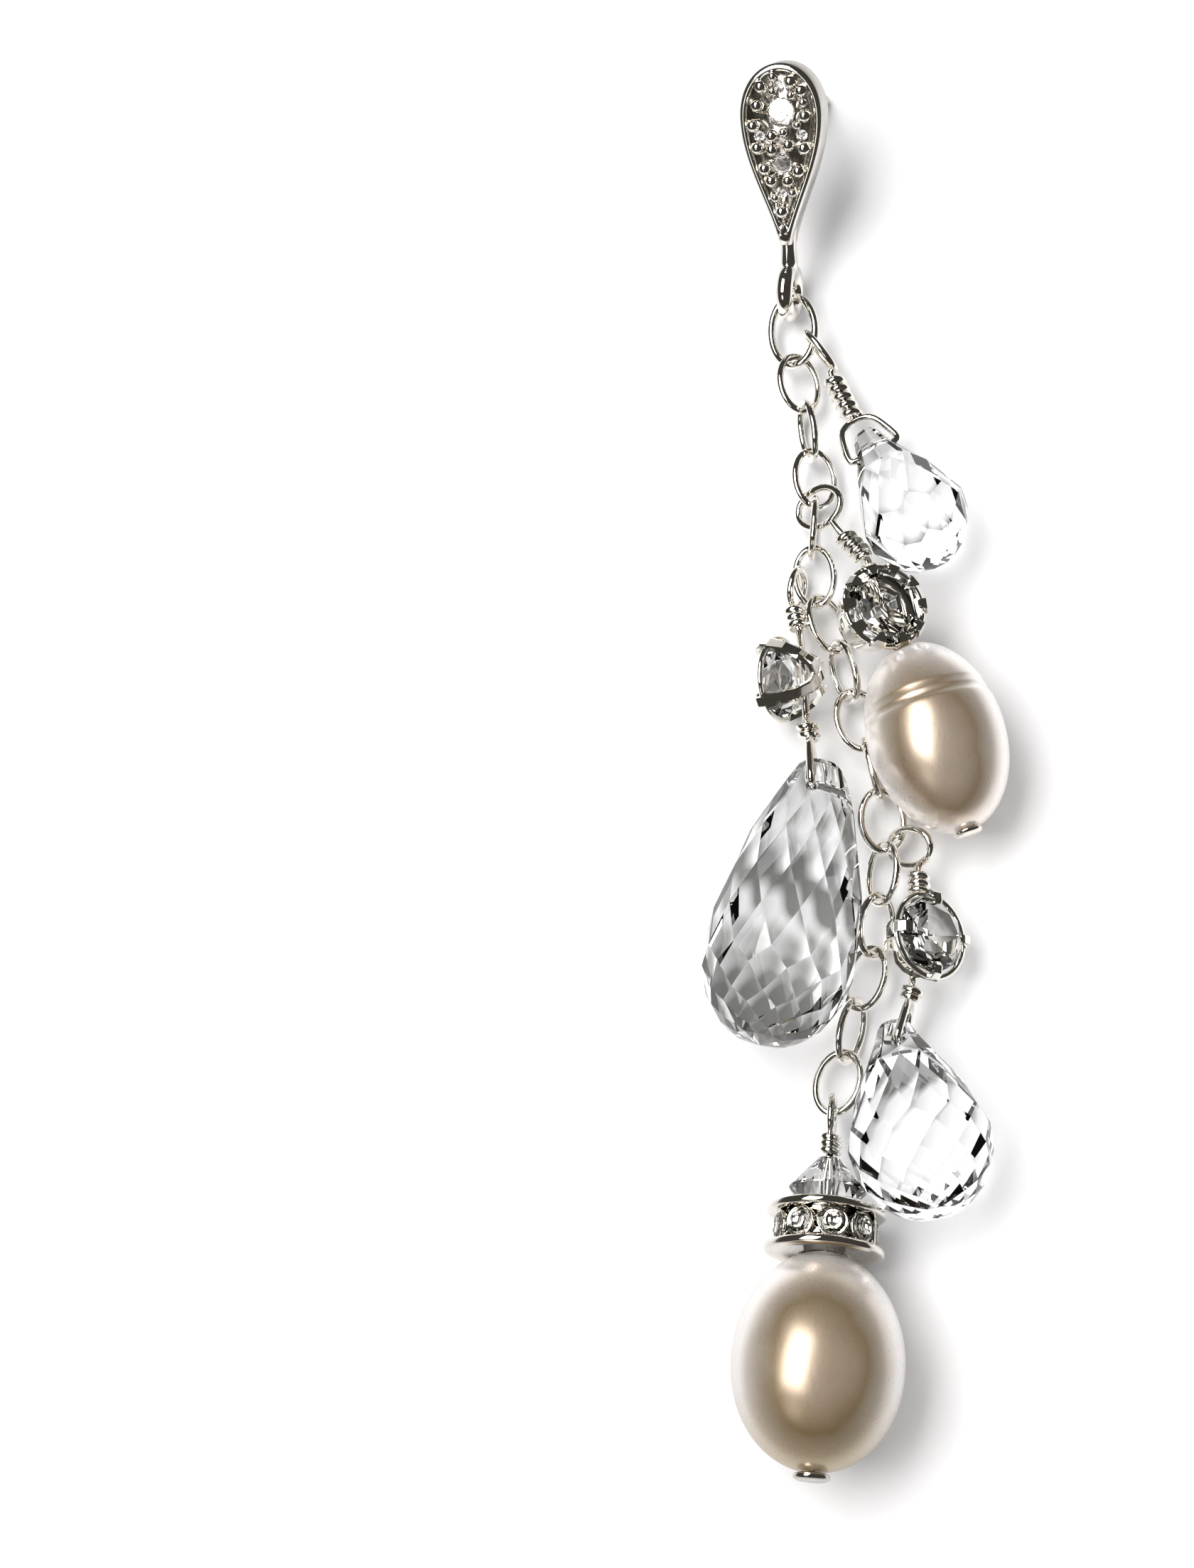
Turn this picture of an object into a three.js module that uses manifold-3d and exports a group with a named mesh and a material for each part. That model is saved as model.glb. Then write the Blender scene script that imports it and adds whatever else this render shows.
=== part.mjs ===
// A long beaded earring lying face up. A paved teardrop stud carries a ring and a chain of fifteen oval links;
// four wire-wrapped units hang along the chain and a pearl under a rhinestone rondelle ends it.
// Millimetres. +Z is up from the surface that it lies on, +Y runs along the chain towards the stud.
import * as THREE from "three";
import { mergeVertices } from "three/addons/utils/BufferGeometryUtils.js";
import Module from "manifold-3d";

const wasm = await Module();
wasm.setup();

const at = (x, y, z) => new THREE.Vector3(x, y, z);
const radians = THREE.MathUtils.degToRad;

// ---- driving dimensions ----
const GAP = 0.06; // clearance between pieces that meet
const WIRE = 0.2; // radius of the headpins and bails
const COIL = 0.56; // outer radius of a coil wrapped round a pin
const COIL_TURN = 0.4; // length of one turn
const BORE = 0.34; // radius of the drilled pearls and beads

const STUD = {
  length: 9.5,
  width: 4.6,
  depth: 1.8,
  edge: 0.28, // rounding of the rim
  inset: 0.83, // paved field as a share of the outline
  pocket: 0.75, // depth of the pocket under the field
  pitch: 35, // degrees that the top end stands up
  roll: 10, // degrees that the face turns to the left
  tip: at(-4.42, 29.44, 0), // where the point of the teardrop lies; its height follows from the loop
};
const STUD_LOOP = { drop: 2.9, radius: 1.18, wire: 0.47 };
const POST = { up: 6.5, radius: 0.4 };

const TOP_RING = {
  place: at(-4.21, 24.75, 1.56),
  along: at(-0.14, 0.99, 0.02),
  front: at(-0.43, -0.04, 0.9),
  length: 4.47,
  width: 3.21,
  wire: 0.22,
};
const LINK = { length: 3.7, width: 2.7, wire: 0.2, pitch: 2.82 };
const CHAIN_ROUTE = [
  at(-3.8, 21.6, 1.5),
  at(-2.8, 15.8, 1.4),
  at(-2.75, 10.6, 1.4),
  at(-0.6, 3.7, 1.4),
  at(1.15, -3.3, 1.4),
  at(0.85, -9.2, 1.4),
  at(-0.25, -14.0, 1.4),
  at(-1.25, -18.5, 1.95),
];
// Turn of each link about the chain, in degrees; 0 lies flat and 90 stands on edge.
const LINK_ROLLS = [32, -70, 28, -84, -22, 45, -60, 15, 88, 18, -48, 48, -30, 66, -14];

// ---- solids ----
function solid(geometry) {
  const bare = geometry.clone();
  bare.deleteAttribute("normal");
  bare.deleteAttribute("uv");
  const merged = mergeVertices(bare, 1e-4);
  const vertProperties = new Float32Array(merged.attributes.position.array);
  const triVerts = new Uint32Array(merged.index.array);
  return new wasm.Manifold(new wasm.Mesh({ numProp: 3, vertProperties, triVerts }));
}

function geometryOf(body) {
  const mesh = body.getMesh();
  const geometry = new THREE.BufferGeometry();
  geometry.setAttribute("position", new THREE.BufferAttribute(mesh.vertProperties, 3));
  geometry.setIndex(new THREE.BufferAttribute(mesh.triVerts, 1));
  geometry.computeVertexNormals();
  return geometry;
}

function join(geometries) {
  return geometryOf(geometries.map(solid).reduce((sum, next) => sum.add(next)));
}

function cut(geometry, tools) {
  return geometryOf(tools.map(solid).reduce((rest, tool) => rest.subtract(tool), solid(geometry)));
}

// Local Y lies along the piece and local Z faces out of it.
function placement(place, along, front) {
  const y = along.clone().normalize();
  const x = y.clone().cross(front).normalize();
  const z = x.clone().cross(y);
  return new THREE.Matrix4().makeBasis(x, y, z).setPosition(place);
}

function placed(geometry, place, along, front = at(0, 0, 1)) {
  return geometry.clone().applyMatrix4(placement(place, along, front));
}

const between = (from, to, share) => from.clone().lerp(to, share);
const beyond = (from, to, extra) => to.clone().add(to.clone().sub(from).setLength(extra));

// ---- wire forms ----
class Oval extends THREE.Curve {
  constructor(length, width) {
    super();
    this.halfLength = length / 2;
    this.halfWidth = width / 2;
  }

  getPoint(t, target = new THREE.Vector3()) {
    const turn = 2 * Math.PI * t;
    return target.set(this.halfWidth * Math.sin(turn), this.halfLength * Math.cos(turn), 0);
  }
}

// A closed ring in the XY plane, its length along Y.
function ovalRing({ length, width, wire }, steps = 18, sides = 6) {
  const middle = new Oval(length - 2 * wire, width - 2 * wire);
  return new THREE.TubeGeometry(middle, steps, wire, sides, true);
}

function rod(from, to, radius = WIRE, sides = 7) {
  const length = from.distanceTo(to);
  const bar = new THREE.CylinderGeometry(radius, radius, length, sides);
  return placed(bar, between(from, to, 0.5), to.clone().sub(from), frontFor(to.clone().sub(from)));
}

// Any direction that isn't along the piece.
function frontFor(along) {
  return Math.abs(along.z) < 0.9 * along.length() ? at(0, 0, 1) : at(1, 0, 0);
}

// A coil of wrapped wire, as a ridged sleeve round its pin.
function coil(from, to) {
  const length = from.distanceTo(to);
  const turns = Math.max(2, Math.round(length / COIL_TURN));
  const profile = [new THREE.Vector2(0, 0)];
  for (let turn = 0; turn < turns; turn += 1) {
    const start = (turn * length) / turns;
    const step = length / turns;
    profile.push(new THREE.Vector2(COIL - 0.16, start + 0.02 * step));
    profile.push(new THREE.Vector2(COIL, start + 0.5 * step));
  }
  profile.push(new THREE.Vector2(COIL - 0.16, length));
  profile.push(new THREE.Vector2(0, length));
  return placed(new THREE.LatheGeometry(profile, 8), from, to.clone().sub(from));
}

// A bail bent round the neck of a drop: out from the pin, down both sides and through the hole.
function bail(from, hole, across, reach) {
  const down = hole.clone().sub(from);
  const side = across.clone().normalize();
  const spot = (share, out) => from.clone().addScaledVector(down, share).addScaledVector(side, out);
  const corners = [
    spot(0, 0),
    spot(0.12, 0.62 * reach),
    spot(0.55, 0.92 * reach),
    spot(0.94, reach),
    spot(1, 0.5 * reach),
    spot(1, -0.5 * reach),
    spot(0.94, -reach),
    spot(0.55, -0.92 * reach),
    spot(0.12, -0.62 * reach),
  ];
  const middle = new THREE.CatmullRomCurve3(corners, true, "centripetal");
  return new THREE.TubeGeometry(middle, 24, WIRE, 6, true);
}

// ---- the stud ----
function teardrop(scale = 1) {
  const half = STUD.width / 2;
  const top = STUD.length;
  const widest = 0.7 * top;
  const centre = 0.62 * top;
  const x = (value) => value * scale;
  const y = (value) => centre + (value - centre) * scale;
  const shape = new THREE.Shape();
  shape.moveTo(x(0.3), y(-0.2));
  shape.bezierCurveTo(x(0.75), y(1.9), x(half), y(4.2), x(half), y(widest));
  shape.bezierCurveTo(x(half), y(0.88 * top), x(0.55 * half), y(top), x(0), y(top));
  shape.bezierCurveTo(x(-0.55 * half), y(top), x(-half), y(0.88 * top), x(-half), y(widest));
  shape.bezierCurveTo(x(-half), y(4.2), x(-0.75), y(1.9), x(-0.3), y(-0.2));
  shape.closePath();
  return shape;
}

function slab(shape, low, high, edge, edgeSteps, curveSegments) {
  const bevelled = {
    depth: high - low - 2 * edge,
    bevelEnabled: true,
    bevelThickness: edge,
    bevelSize: edge,
    bevelOffset: -edge,
    bevelSegments: edgeSteps,
    curveSegments,
  };
  return new THREE.ExtrudeGeometry(shape, bevelled).translate(0, 0, low + edge);
}

const pitch = radians(STUD.pitch);
const roll = radians(STUD.roll);
const studAlong = at(0, Math.cos(pitch), Math.sin(pitch));
const studFront = at(-Math.sin(roll), -Math.sin(pitch) * Math.cos(roll), Math.cos(pitch) * Math.cos(roll));
const loopHeight = STUD_LOOP.radius + STUD_LOOP.wire;
const studPlace = STUD.tip.clone().setZ(loopHeight + STUD_LOOP.drop * studAlong.z);

// The post reaches from the back of the plate to the surface.
function postLength() {
  const height = loopHeight + (STUD_LOOP.drop + POST.up) * studAlong.z;
  const foot = POST.radius * Math.sqrt(1 - studFront.z * studFront.z);
  return (height - foot) / studFront.z;
}

function earStud() {
  const half = STUD.depth / 2;
  const plate = slab(teardrop(), -half, half, STUD.edge, 2, 7);
  const pocket = new THREE.ExtrudeGeometry(teardrop(STUD.inset), {
    depth: STUD.depth,
    bevelEnabled: false,
    curveSegments: 7,
  }).translate(0, 0, half - STUD.pocket);
  const neckEnd = at(0, STUD_LOOP.radius - STUD_LOOP.drop, 0);
  const neck = rod(at(0, 0.5, 0), neckEnd, 0.5, 10);
  const loop = new THREE.TorusGeometry(STUD_LOOP.radius, STUD_LOOP.wire, 10, 22).rotateY(Math.PI / 2);
  loop.translate(0, -STUD_LOOP.drop, 0);
  const post = rod(at(0, POST.up, -0.2), at(0, POST.up, -postLength()), POST.radius, 12);
  const body = solid(plate).subtract(solid(pocket)).add(solid(neck)).add(solid(loop)).add(solid(post));
  return placed(geometryOf(body), studPlace, studAlong, studFront);
}

function paveField() {
  const half = STUD.depth / 2;
  const seat = half - STUD.pocket + GAP;
  const scale = STUD.inset * 0.955;
  const field = slab(teardrop(scale), seat, half + 0.12, 0.3, 2, 6);
  return placed(field, studPlace, studAlong, studFront);
}

// ---- the chain ----
function rolledFront(along, degrees) {
  const side = along.clone().cross(at(0, 0, 1)).normalize();
  const flat = side.clone().cross(along).normalize();
  return flat.multiplyScalar(Math.cos(radians(degrees))).addScaledVector(side, Math.sin(radians(degrees)));
}

function chainLinks() {
  const route = new THREE.CatmullRomCurve3(CHAIN_ROUTE, false, "centripetal");
  const length = route.getLength();
  return LINK_ROLLS.map((degrees, index) => {
    const share = (index * LINK.pitch) / length;
    const place = route.getPointAt(share);
    const along = route.getTangentAt(share).negate();
    return placed(ovalRing(LINK), place, along, rolledFront(along, degrees));
  });
}

// ---- faceted drops ----
// Radius of the smooth form at a distance from the top.
function dropRadius(drop, down) {
  const widest = drop.width / 2;
  if (down < drop.belly) {
    const left = 1 - (down / drop.belly) ** drop.hollow;
    return widest - (widest - drop.neck) * left ** drop.taper;
  }
  const past = (down - drop.belly) / (drop.length - drop.belly);
  return widest * Math.sqrt(Math.max(0, 1 - past * past));
}

// Heights of the rings of corners. Each lozenge is flat: its lower corner is where the line from its upper
// corner through the middle of its waist meets the smooth form again.
function facetRings(drop) {
  const narrow = Math.cos(Math.PI / drop.sides);
  const downs = [drop.facetsFrom, drop.facetsFrom + drop.firstStep];
  while (downs.length < 16) {
    const [upper, waist] = downs.slice(-2);
    const upperRadius = dropRadius(drop, upper);
    const slope = (dropRadius(drop, waist) * narrow - upperRadius) / (waist - upper);
    let inside = waist;
    let outside = drop.length;
    for (let pass = 0; pass < 40; pass += 1) {
      const middle = (inside + outside) / 2;
      const line = upperRadius + slope * (middle - upper);
      if (dropRadius(drop, middle) > line) inside = middle;
      else outside = middle;
    }
    downs.push(inside);
    if (dropRadius(drop, inside) < 0.22 * drop.width) break;
  }
  return downs;
}

function facetedDrop(drop) {
  const necks = [0, 0.12, 0.5].map((share) => share * drop.facetsFrom);
  const rings = [
    ...necks.map((down, index) => ({ down, radius: dropRadius(drop, down) - (index ? 0 : 0.18), turn: 0 })),
    ...facetRings(drop).map((down, index) => ({ down, radius: dropRadius(drop, down), turn: index % 2 })),
  ];
  const positions = [];
  for (const ring of rings)
    for (let side = 0; side < drop.sides; side += 1) {
      const angle = (2 * Math.PI * (side + ring.turn / 2)) / drop.sides;
      positions.push(ring.radius * Math.sin(angle), -ring.down, ring.radius * Math.cos(angle));
    }
  const topCentre = positions.length / 3;
  positions.push(0, 0, 0);
  const bottomCentre = topCentre + 1;
  positions.push(0, -drop.length, 0);
  const index = [];
  const corner = (ring, side) => ring * drop.sides + ((side + drop.sides) % drop.sides);
  for (let ring = 0; ring + 1 < rings.length; ring += 1)
    for (let side = 0; side < drop.sides; side += 1) {
      const here = rings[ring].turn;
      if (here === rings[ring + 1].turn) {
        index.push(corner(ring, side), corner(ring + 1, side), corner(ring + 1, side + 1));
        index.push(corner(ring, side), corner(ring + 1, side + 1), corner(ring, side + 1));
      } else {
        index.push(corner(ring, side), corner(ring + 1, side + here - 1), corner(ring + 1, side + here));
        index.push(corner(ring, side), corner(ring + 1, side + here), corner(ring, side + 1));
      }
    }
  const last = rings.length - 1;
  for (let side = 0; side < drop.sides; side += 1) {
    index.push(topCentre, corner(0, side), corner(0, side + 1));
    index.push(bottomCentre, corner(last, side + 1), corner(last, side));
  }
  const geometry = new THREE.BufferGeometry();
  geometry.setAttribute("position", new THREE.Float32BufferAttribute(positions, 3));
  geometry.setIndex(index);
  return geometry;
}

function drilledDrop(drop) {
  const along = drop.top.clone().sub(drop.bottom);
  const body = placed(facetedDrop(drop), drop.top, along);
  const side = drop.across.clone().setLength(drop.width);
  const drill = rod(drop.hole.clone().sub(side), drop.hole.clone().add(side), BORE, 10);
  return cut(body, [drill]);
}

// ---- pearls, beads and stones ----
// An egg about the origin, its long axis on Y, drilled from end to end.
function pearl({ width, length, fullness }) {
  const steps = 13;
  const profile = [];
  const reach = Math.asin(BORE / (width / 2));
  for (let step = 0; step <= steps; step += 1) {
    const angle = reach + ((Math.PI - 2 * reach) * step) / steps;
    const swell = 1 - fullness * Math.cos(angle);
    const radius = step === 0 || step === steps ? BORE : (width / 2) * Math.sin(angle) * swell;
    profile.push(new THREE.Vector2(radius, (length / 2) * Math.cos(angle)));
  }
  profile.push(profile[0].clone());
  return new THREE.LatheGeometry(profile.reverse(), 20);
}

const CHATON = {
  wireHeight: 0.95,
  stone: { culet: 1.45, girdle: 2.4, edge: 2.52, table: 3.05, radius: 2.0, tableRadius: 1.15 },
  cup: { foot: 1.25, rim: 2.3, wall: 0.22, top: 2.62 },
};

function chatonStone() {
  const { culet, girdle, edge, table, radius, tableRadius } = CHATON.stone;
  const profile = [
    new THREE.Vector2(0, culet),
    new THREE.Vector2(radius, girdle),
    new THREE.Vector2(radius, edge),
    new THREE.Vector2(tableRadius, table),
    new THREE.Vector2(0, table),
  ];
  return new THREE.LatheGeometry(profile, 16);
}

// An open cup on local Y with claws bent over the stone and windows in its wall.
function setting(claws, windows) {
  const { foot, rim, wall, top } = CHATON.cup;
  const profile = [
    new THREE.Vector2(0, 0),
    new THREE.Vector2(foot, 0),
    new THREE.Vector2(rim, CHATON.stone.girdle - 0.1),
    new THREE.Vector2(rim, top),
    new THREE.Vector2(rim - wall, top),
    new THREE.Vector2(rim - wall, CHATON.stone.girdle - 0.14),
    new THREE.Vector2(foot - 0.35, 0.45),
    new THREE.Vector2(0, 0.45),
  ];
  let body = solid(new THREE.LatheGeometry(profile, 16));
  for (let claw = 0; claw < claws; claw += 1) {
    const turn = (2 * Math.PI * claw) / claws;
    const tab = new THREE.BoxGeometry(0.62, 0.2, 0.55).translate(0, top + 0.22, rim - 0.36);
    const shank = new THREE.BoxGeometry(0.62, 0.5, 0.2).translate(0, top + 0.07, rim - 0.11);
    body = body.add(solid(tab.rotateY(turn))).add(solid(shank.rotateY(turn)));
  }
  for (let window = 0; window < windows; window += 1) {
    const turn = (2 * Math.PI * (window + 0.5)) / windows;
    const opening = new THREE.BoxGeometry((3.6 / windows) * 1.15, 1.25, 3).translate(0, 1.35, 2.1);
    body = body.subtract(solid(opening.rotateY(turn)));
  }
  return geometryOf(body);
}

// The setting's foot point and turn for a wire that passes through it.
function chatonPlacement({ through, faces, wireAlong }) {
  const up = faces.clone().normalize();
  const foot = through.clone().addScaledVector(up, -CHATON.wireHeight);
  return [foot, up, wireAlong.clone().cross(up)];
}

// ---- the hanging units ----
const SMALL_UNIT = {
  loop: { place: at(-2.65, 23.38, 1.8), along: at(0.61, -0.77, -0.17), front: at(0.94, 0.35, 0), length: 3, width: 2 },
  coil: [at(-1.98, 21.85, 1.7), at(-0.7, 19.2, 1.85)],
};
const SMALL_DROP = {
  top: at(-0.1, 18.35, 2.0),
  bottom: at(4.15, 10.55, 3.25),
  hole: at(0.49, 17.26, 2.17),
  across: at(0.88, 0.48, 0),
  length: 8.9,
  width: 5.8,
  neck: 0.75,
  belly: 5.9,
  taper: 1.75,
  hollow: 1.5,
  sides: 9,
  facetsFrom: 2.6,
  firstStep: 1.15,
};

const SIDE_UNIT = {
  loop: { place: at(-2.51, 14.19, 1.93), along: at(0.83, 0, 0.56), front: at(-0.57, 0, 0.82), length: 3.3, width: 2.67 },
  coil: [at(-1.2, 12.5, 2.3), at(0.25, 10.85, 2.6)],
  chaton: { through: at(0.6, 7.4, 3.8), faces: at(0.45, 0.05, 0.89), wireAlong: at(0.2, -1, 0.1) },
};
const SIDE_PEARL = { place: at(3.98, 0.82, 3.59), along: at(-0.317, 0.948, 0), width: 7.2, length: 10.4, fullness: 0 };

const LONG_UNIT = {
  loop: { place: at(-3.65, 9.79, 1.38), along: at(-0.18, -0.98, -0.1), front: at(0.93, 0.2, 0.3), length: 2.54, width: 2.14 },
  coil: [at(-3.8, 8.6, 1.4), at(-3.4, 7.1, 2.1)],
  chaton: { through: at(-3.0, 4.3, 2.9), faces: at(-0.92, 0.05, -0.38), wireAlong: at(0.08, -1, 0) },
  lowerCoil: [at(-2.85, 1.9, 2.85), at(-2.6, 0.75, 2.8)],
};
const LONG_DROP = {
  top: at(-1.97, -0.45, 2.8),
  bottom: at(-4.72, -15.65, 4.5),
  hole: at(-2.29, -2.25, 3.0),
  across: at(0, 0.1, 1),
  length: 15.4,
  width: 7.9,
  neck: 1.1,
  belly: 10.8,
  taper: 1.9,
  hollow: 1,
  sides: 12,
  facetsFrom: 2.5,
  firstStep: 1.95,
};

const ROUND_UNIT = {
  loop: { place: at(2.58, -4.6, 1.66), along: at(0.79, -0.02, 0.61), front: at(-0.57, -0.33, 0.75), length: 3.19, width: 2.34 },
  coil: [at(3.05, -5.95, 2.0), at(3.15, -7.4, 2.3)],
  chaton: { through: at(2.75, -9.75, 2.4), faces: at(0.68, 0.1, 0.73), wireAlong: at(-0.05, -1, 0.05) },
  lowerCoil: [at(2.9, -12.0, 2.5), at(2.75, -12.9, 2.5)],
};
const ROUND_DROP = {
  top: at(1.9, -14.0, 2.63),
  bottom: at(4.3, -23.9, 4.23),
  hole: at(2.19, -15.3, 2.83),
  across: at(0, 0.15, 1),
  length: 10.3,
  width: 7.3,
  neck: 0.8,
  belly: 6.3,
  taper: 1.7,
  hollow: 1.3,
  sides: 11,
  facetsFrom: 2.3,
  firstStep: 1.3,
};

// The point of a loop's wire that is nearest to a given one.
function nearestOn({ place, along, front, length, width }, target) {
  const frame = placement(place, along, front);
  const middle = new Oval(length - 2 * WIRE, width - 2 * WIRE);
  const spots = middle.getPoints(60).map((spot) => spot.applyMatrix4(frame));
  return spots.reduce((best, spot) => (spot.distanceTo(target) < best.distanceTo(target) ? spot : best));
}

function unitWire(unit, extras) {
  const { place, along, front, length, width } = unit.loop;
  const loop = placed(ovalRing({ length, width, wire: WIRE }), place, along, front);
  const inside = between(unit.coil[0], unit.coil[1], 0.4);
  const stem = rod(inside, nearestOn(unit.loop, unit.coil[0]));
  const parts = [loop, stem, coil(...unit.coil), ...extras];
  if (unit.lowerCoil) parts.push(coil(...unit.lowerCoil));
  return join(parts);
}

// ---- the main pendant ----
const MAIN_PEARL = { width: 8.6, length: 10.7, fullness: 0.035 };
const MAIN = {
  place: at(-1.43, -30.95, 4.29), // middle of the pearl
  dip: 10, // degrees that the pin falls towards the chain
  turn: 1.3, // degrees that it leans to the right
  rondelle: { low: 5.2, high: 7.6, radius: 3, core: 2.15, bore: 1.3, rim: 0.42, tilt: 3 },
  bicone: { belt: 8.55, half: 1.6, radius: 1.95, end: 0.55 },
  coil: [10.25, 11.55],
  loop: { middle: 12.45, length: 2.33, width: 2.14 },
  head: { radius: 0.9, low: -5.72, high: -5.42 },
};

function rondelle() {
  const { low, high, radius, core, bore, rim } = MAIN.rondelle;
  const profile = [
    new THREE.Vector2(bore, low),
    new THREE.Vector2(radius - 0.1, low),
    new THREE.Vector2(radius, low + 0.1),
    new THREE.Vector2(radius, low + rim - 0.1),
    new THREE.Vector2(radius - 0.1, low + rim),
    new THREE.Vector2(core, low + rim),
    new THREE.Vector2(core, high - rim),
    new THREE.Vector2(radius - 0.1, high - rim),
    new THREE.Vector2(radius, high - rim + 0.1),
    new THREE.Vector2(radius, high - 0.1),
    new THREE.Vector2(radius - 0.1, high),
    new THREE.Vector2(bore, high),
    new THREE.Vector2(bore, low),
  ];
  return new THREE.LatheGeometry(profile, 24);
}

function bicone() {
  const { belt, half, radius, end } = MAIN.bicone;
  const profile = [
    new THREE.Vector2(BORE, belt - half),
    new THREE.Vector2(end, belt - half),
    new THREE.Vector2(radius, belt - 0.08),
    new THREE.Vector2(radius, belt + 0.08),
    new THREE.Vector2(end, belt + half),
    new THREE.Vector2(BORE, belt + half),
    new THREE.Vector2(BORE, belt - half),
  ];
  return new THREE.LatheGeometry(profile, 12);
}

function mainHeadpin() {
  const { coil: wrap, loop, head } = MAIN;
  const disc = new THREE.CylinderGeometry(head.radius, head.radius, head.high - head.low, 16);
  const ring = ovalRing({ length: loop.length, width: loop.width, wire: WIRE });
  return join([
    disc.translate(0, (head.low + head.high) / 2, 0),
    rod(at(0, head.low + 0.1, 0), at(0, wrap[0] + 0.2, 0)),
    coil(at(0, wrap[0], 0), at(0, wrap[1], 0)),
    ring.rotateY(Math.PI / 2).translate(0, loop.middle, 0),
  ]);
}

// ---- assembly ----
const silver = () => new THREE.MeshStandardMaterial({ color: 0xe6e5e2, metalness: 1, roughness: 0.14 });
const crystal = () => new THREE.MeshStandardMaterial({ color: 0xeef2f6, metalness: 0, roughness: 0.03 });
const nacre = () => new THREE.MeshStandardMaterial({ color: 0xefe4d6, metalness: 0, roughness: 0.25 });

const group = new THREE.Group();

function add(name, geometry, material) {
  const mesh = new THREE.Mesh(geometry, material);
  mesh.name = name;
  group.add(mesh);
  return mesh;
}

add("ear_stud", earStud(), silver());
add("pave_field", paveField(), crystal());
add("top_ring", placed(ovalRing(TOP_RING, 22, 7), TOP_RING.place, TOP_RING.along, TOP_RING.front), silver());
chainLinks().forEach((link, index) => {
  add("chain_link_" + String(index + 1).padStart(2, "0"), link, silver());
});

function addDropUnit(prefix, unit, drop) {
  const outlet = (unit.lowerCoil ?? unit.coil)[1];
  const reach = dropRadius(drop, drop.top.distanceTo(drop.hole)) + WIRE + 0.12;
  const strap = bail(outlet, drop.hole, drop.across, reach);
  const stops = unit.chaton ? [unit.coil[1], unit.chaton.through, unit.lowerCoil[0]] : [];
  add(prefix + "_drop_wire", unitWire(unit, [strap, ...pathRods(stops)]), silver());
  add(prefix + "_drop", drilledDrop(drop), crystal());
}

function pathRods(stops) {
  return stops.slice(1).map((stop, index) => rod(stops[index], beyond(stops[index], stop, 0.1)));
}

// The wire runs through two holes in the wall of the setting.
function addChaton(prefix, chaton, route, claws, windows) {
  const [foot, up, front] = chatonPlacement(chaton);
  const cup = placed(setting(claws, windows), foot, up, front);
  const bores = route.map((end) => rod(end, beyond(end, chaton.through, 0.2), BORE + 0.04));
  add(prefix + "_setting", cut(cup, bores), silver());
  add(prefix + "_stone", placed(chatonStone(), foot, up, front), crystal());
}

addDropUnit("small", SMALL_UNIT, SMALL_DROP);
addDropUnit("long", LONG_UNIT, LONG_DROP);
addDropUnit("round", ROUND_UNIT, ROUND_DROP);

const pearlTop = SIDE_PEARL.place.clone().addScaledVector(SIDE_PEARL.along, SIDE_PEARL.length / 2 + 0.3);
const pearlFoot = SIDE_PEARL.place.clone().addScaledVector(SIDE_PEARL.along, -SIDE_PEARL.length / 2 - 0.12);
const sideHead = new THREE.CylinderGeometry(0.75, 0.75, 0.28, 14);
const sideStops = [SIDE_UNIT.coil[1], SIDE_UNIT.chaton.through, pearlTop, pearlFoot];
addChaton("side", SIDE_UNIT.chaton, [SIDE_UNIT.coil[1], pearlTop], 10, 0);
addChaton("long", LONG_UNIT.chaton, [LONG_UNIT.coil[1], LONG_UNIT.lowerCoil[0]], 4, 4);
addChaton("round", ROUND_UNIT.chaton, [ROUND_UNIT.coil[1], ROUND_UNIT.lowerCoil[0]], 4, 4);
const sideParts = [placed(sideHead, pearlFoot, SIDE_PEARL.along), ...pathRods(sideStops)];
add("side_pearl_wire", unitWire(SIDE_UNIT, sideParts), silver());
add("side_pearl", placed(pearl(SIDE_PEARL), SIDE_PEARL.place, SIDE_PEARL.along), nacre());

const lean = radians(MAIN.turn);
const dip = radians(MAIN.dip);
const mainAlong = at(Math.sin(lean) * Math.cos(dip), Math.cos(lean) * Math.cos(dip), -Math.sin(dip));
add("main_headpin", placed(mainHeadpin(), MAIN.place, mainAlong), silver());
add("crystal_bicone", placed(bicone(), MAIN.place, mainAlong), crystal());
add("rondelle", placed(rondelle(), MAIN.place, mainAlong), silver());
add("main_pearl", placed(pearl(MAIN_PEARL), MAIN.place, mainAlong), nacre());

// The origin is on the surface, under the middle of the whole.
const bounds = new THREE.Box3().setFromObject(group);
const centre = bounds.getCenter(at(0, 0, 0));
group.position.set(-centre.x, -centre.y, -bounds.min.z);

export default group;
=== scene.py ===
"""Looks of a long beaded earring that lies face up on white paper."""

import math
import random

import bmesh
import bpy
import numpy as np
from mathutils import Matrix, Vector


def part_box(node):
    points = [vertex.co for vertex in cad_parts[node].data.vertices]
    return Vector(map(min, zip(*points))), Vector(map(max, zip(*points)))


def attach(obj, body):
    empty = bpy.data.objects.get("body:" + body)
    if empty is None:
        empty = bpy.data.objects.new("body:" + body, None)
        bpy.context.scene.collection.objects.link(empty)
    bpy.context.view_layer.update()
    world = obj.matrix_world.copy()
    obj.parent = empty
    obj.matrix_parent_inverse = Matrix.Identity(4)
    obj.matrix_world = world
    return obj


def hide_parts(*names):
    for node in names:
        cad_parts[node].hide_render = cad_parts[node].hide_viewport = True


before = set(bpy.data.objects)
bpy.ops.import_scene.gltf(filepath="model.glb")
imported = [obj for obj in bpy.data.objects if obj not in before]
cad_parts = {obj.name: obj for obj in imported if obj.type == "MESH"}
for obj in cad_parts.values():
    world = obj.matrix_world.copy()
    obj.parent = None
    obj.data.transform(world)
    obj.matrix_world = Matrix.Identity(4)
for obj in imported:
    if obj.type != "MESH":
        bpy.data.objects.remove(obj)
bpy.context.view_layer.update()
MM = 0.001


def at(x, y, z):
    return Vector((x, y, z))


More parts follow.
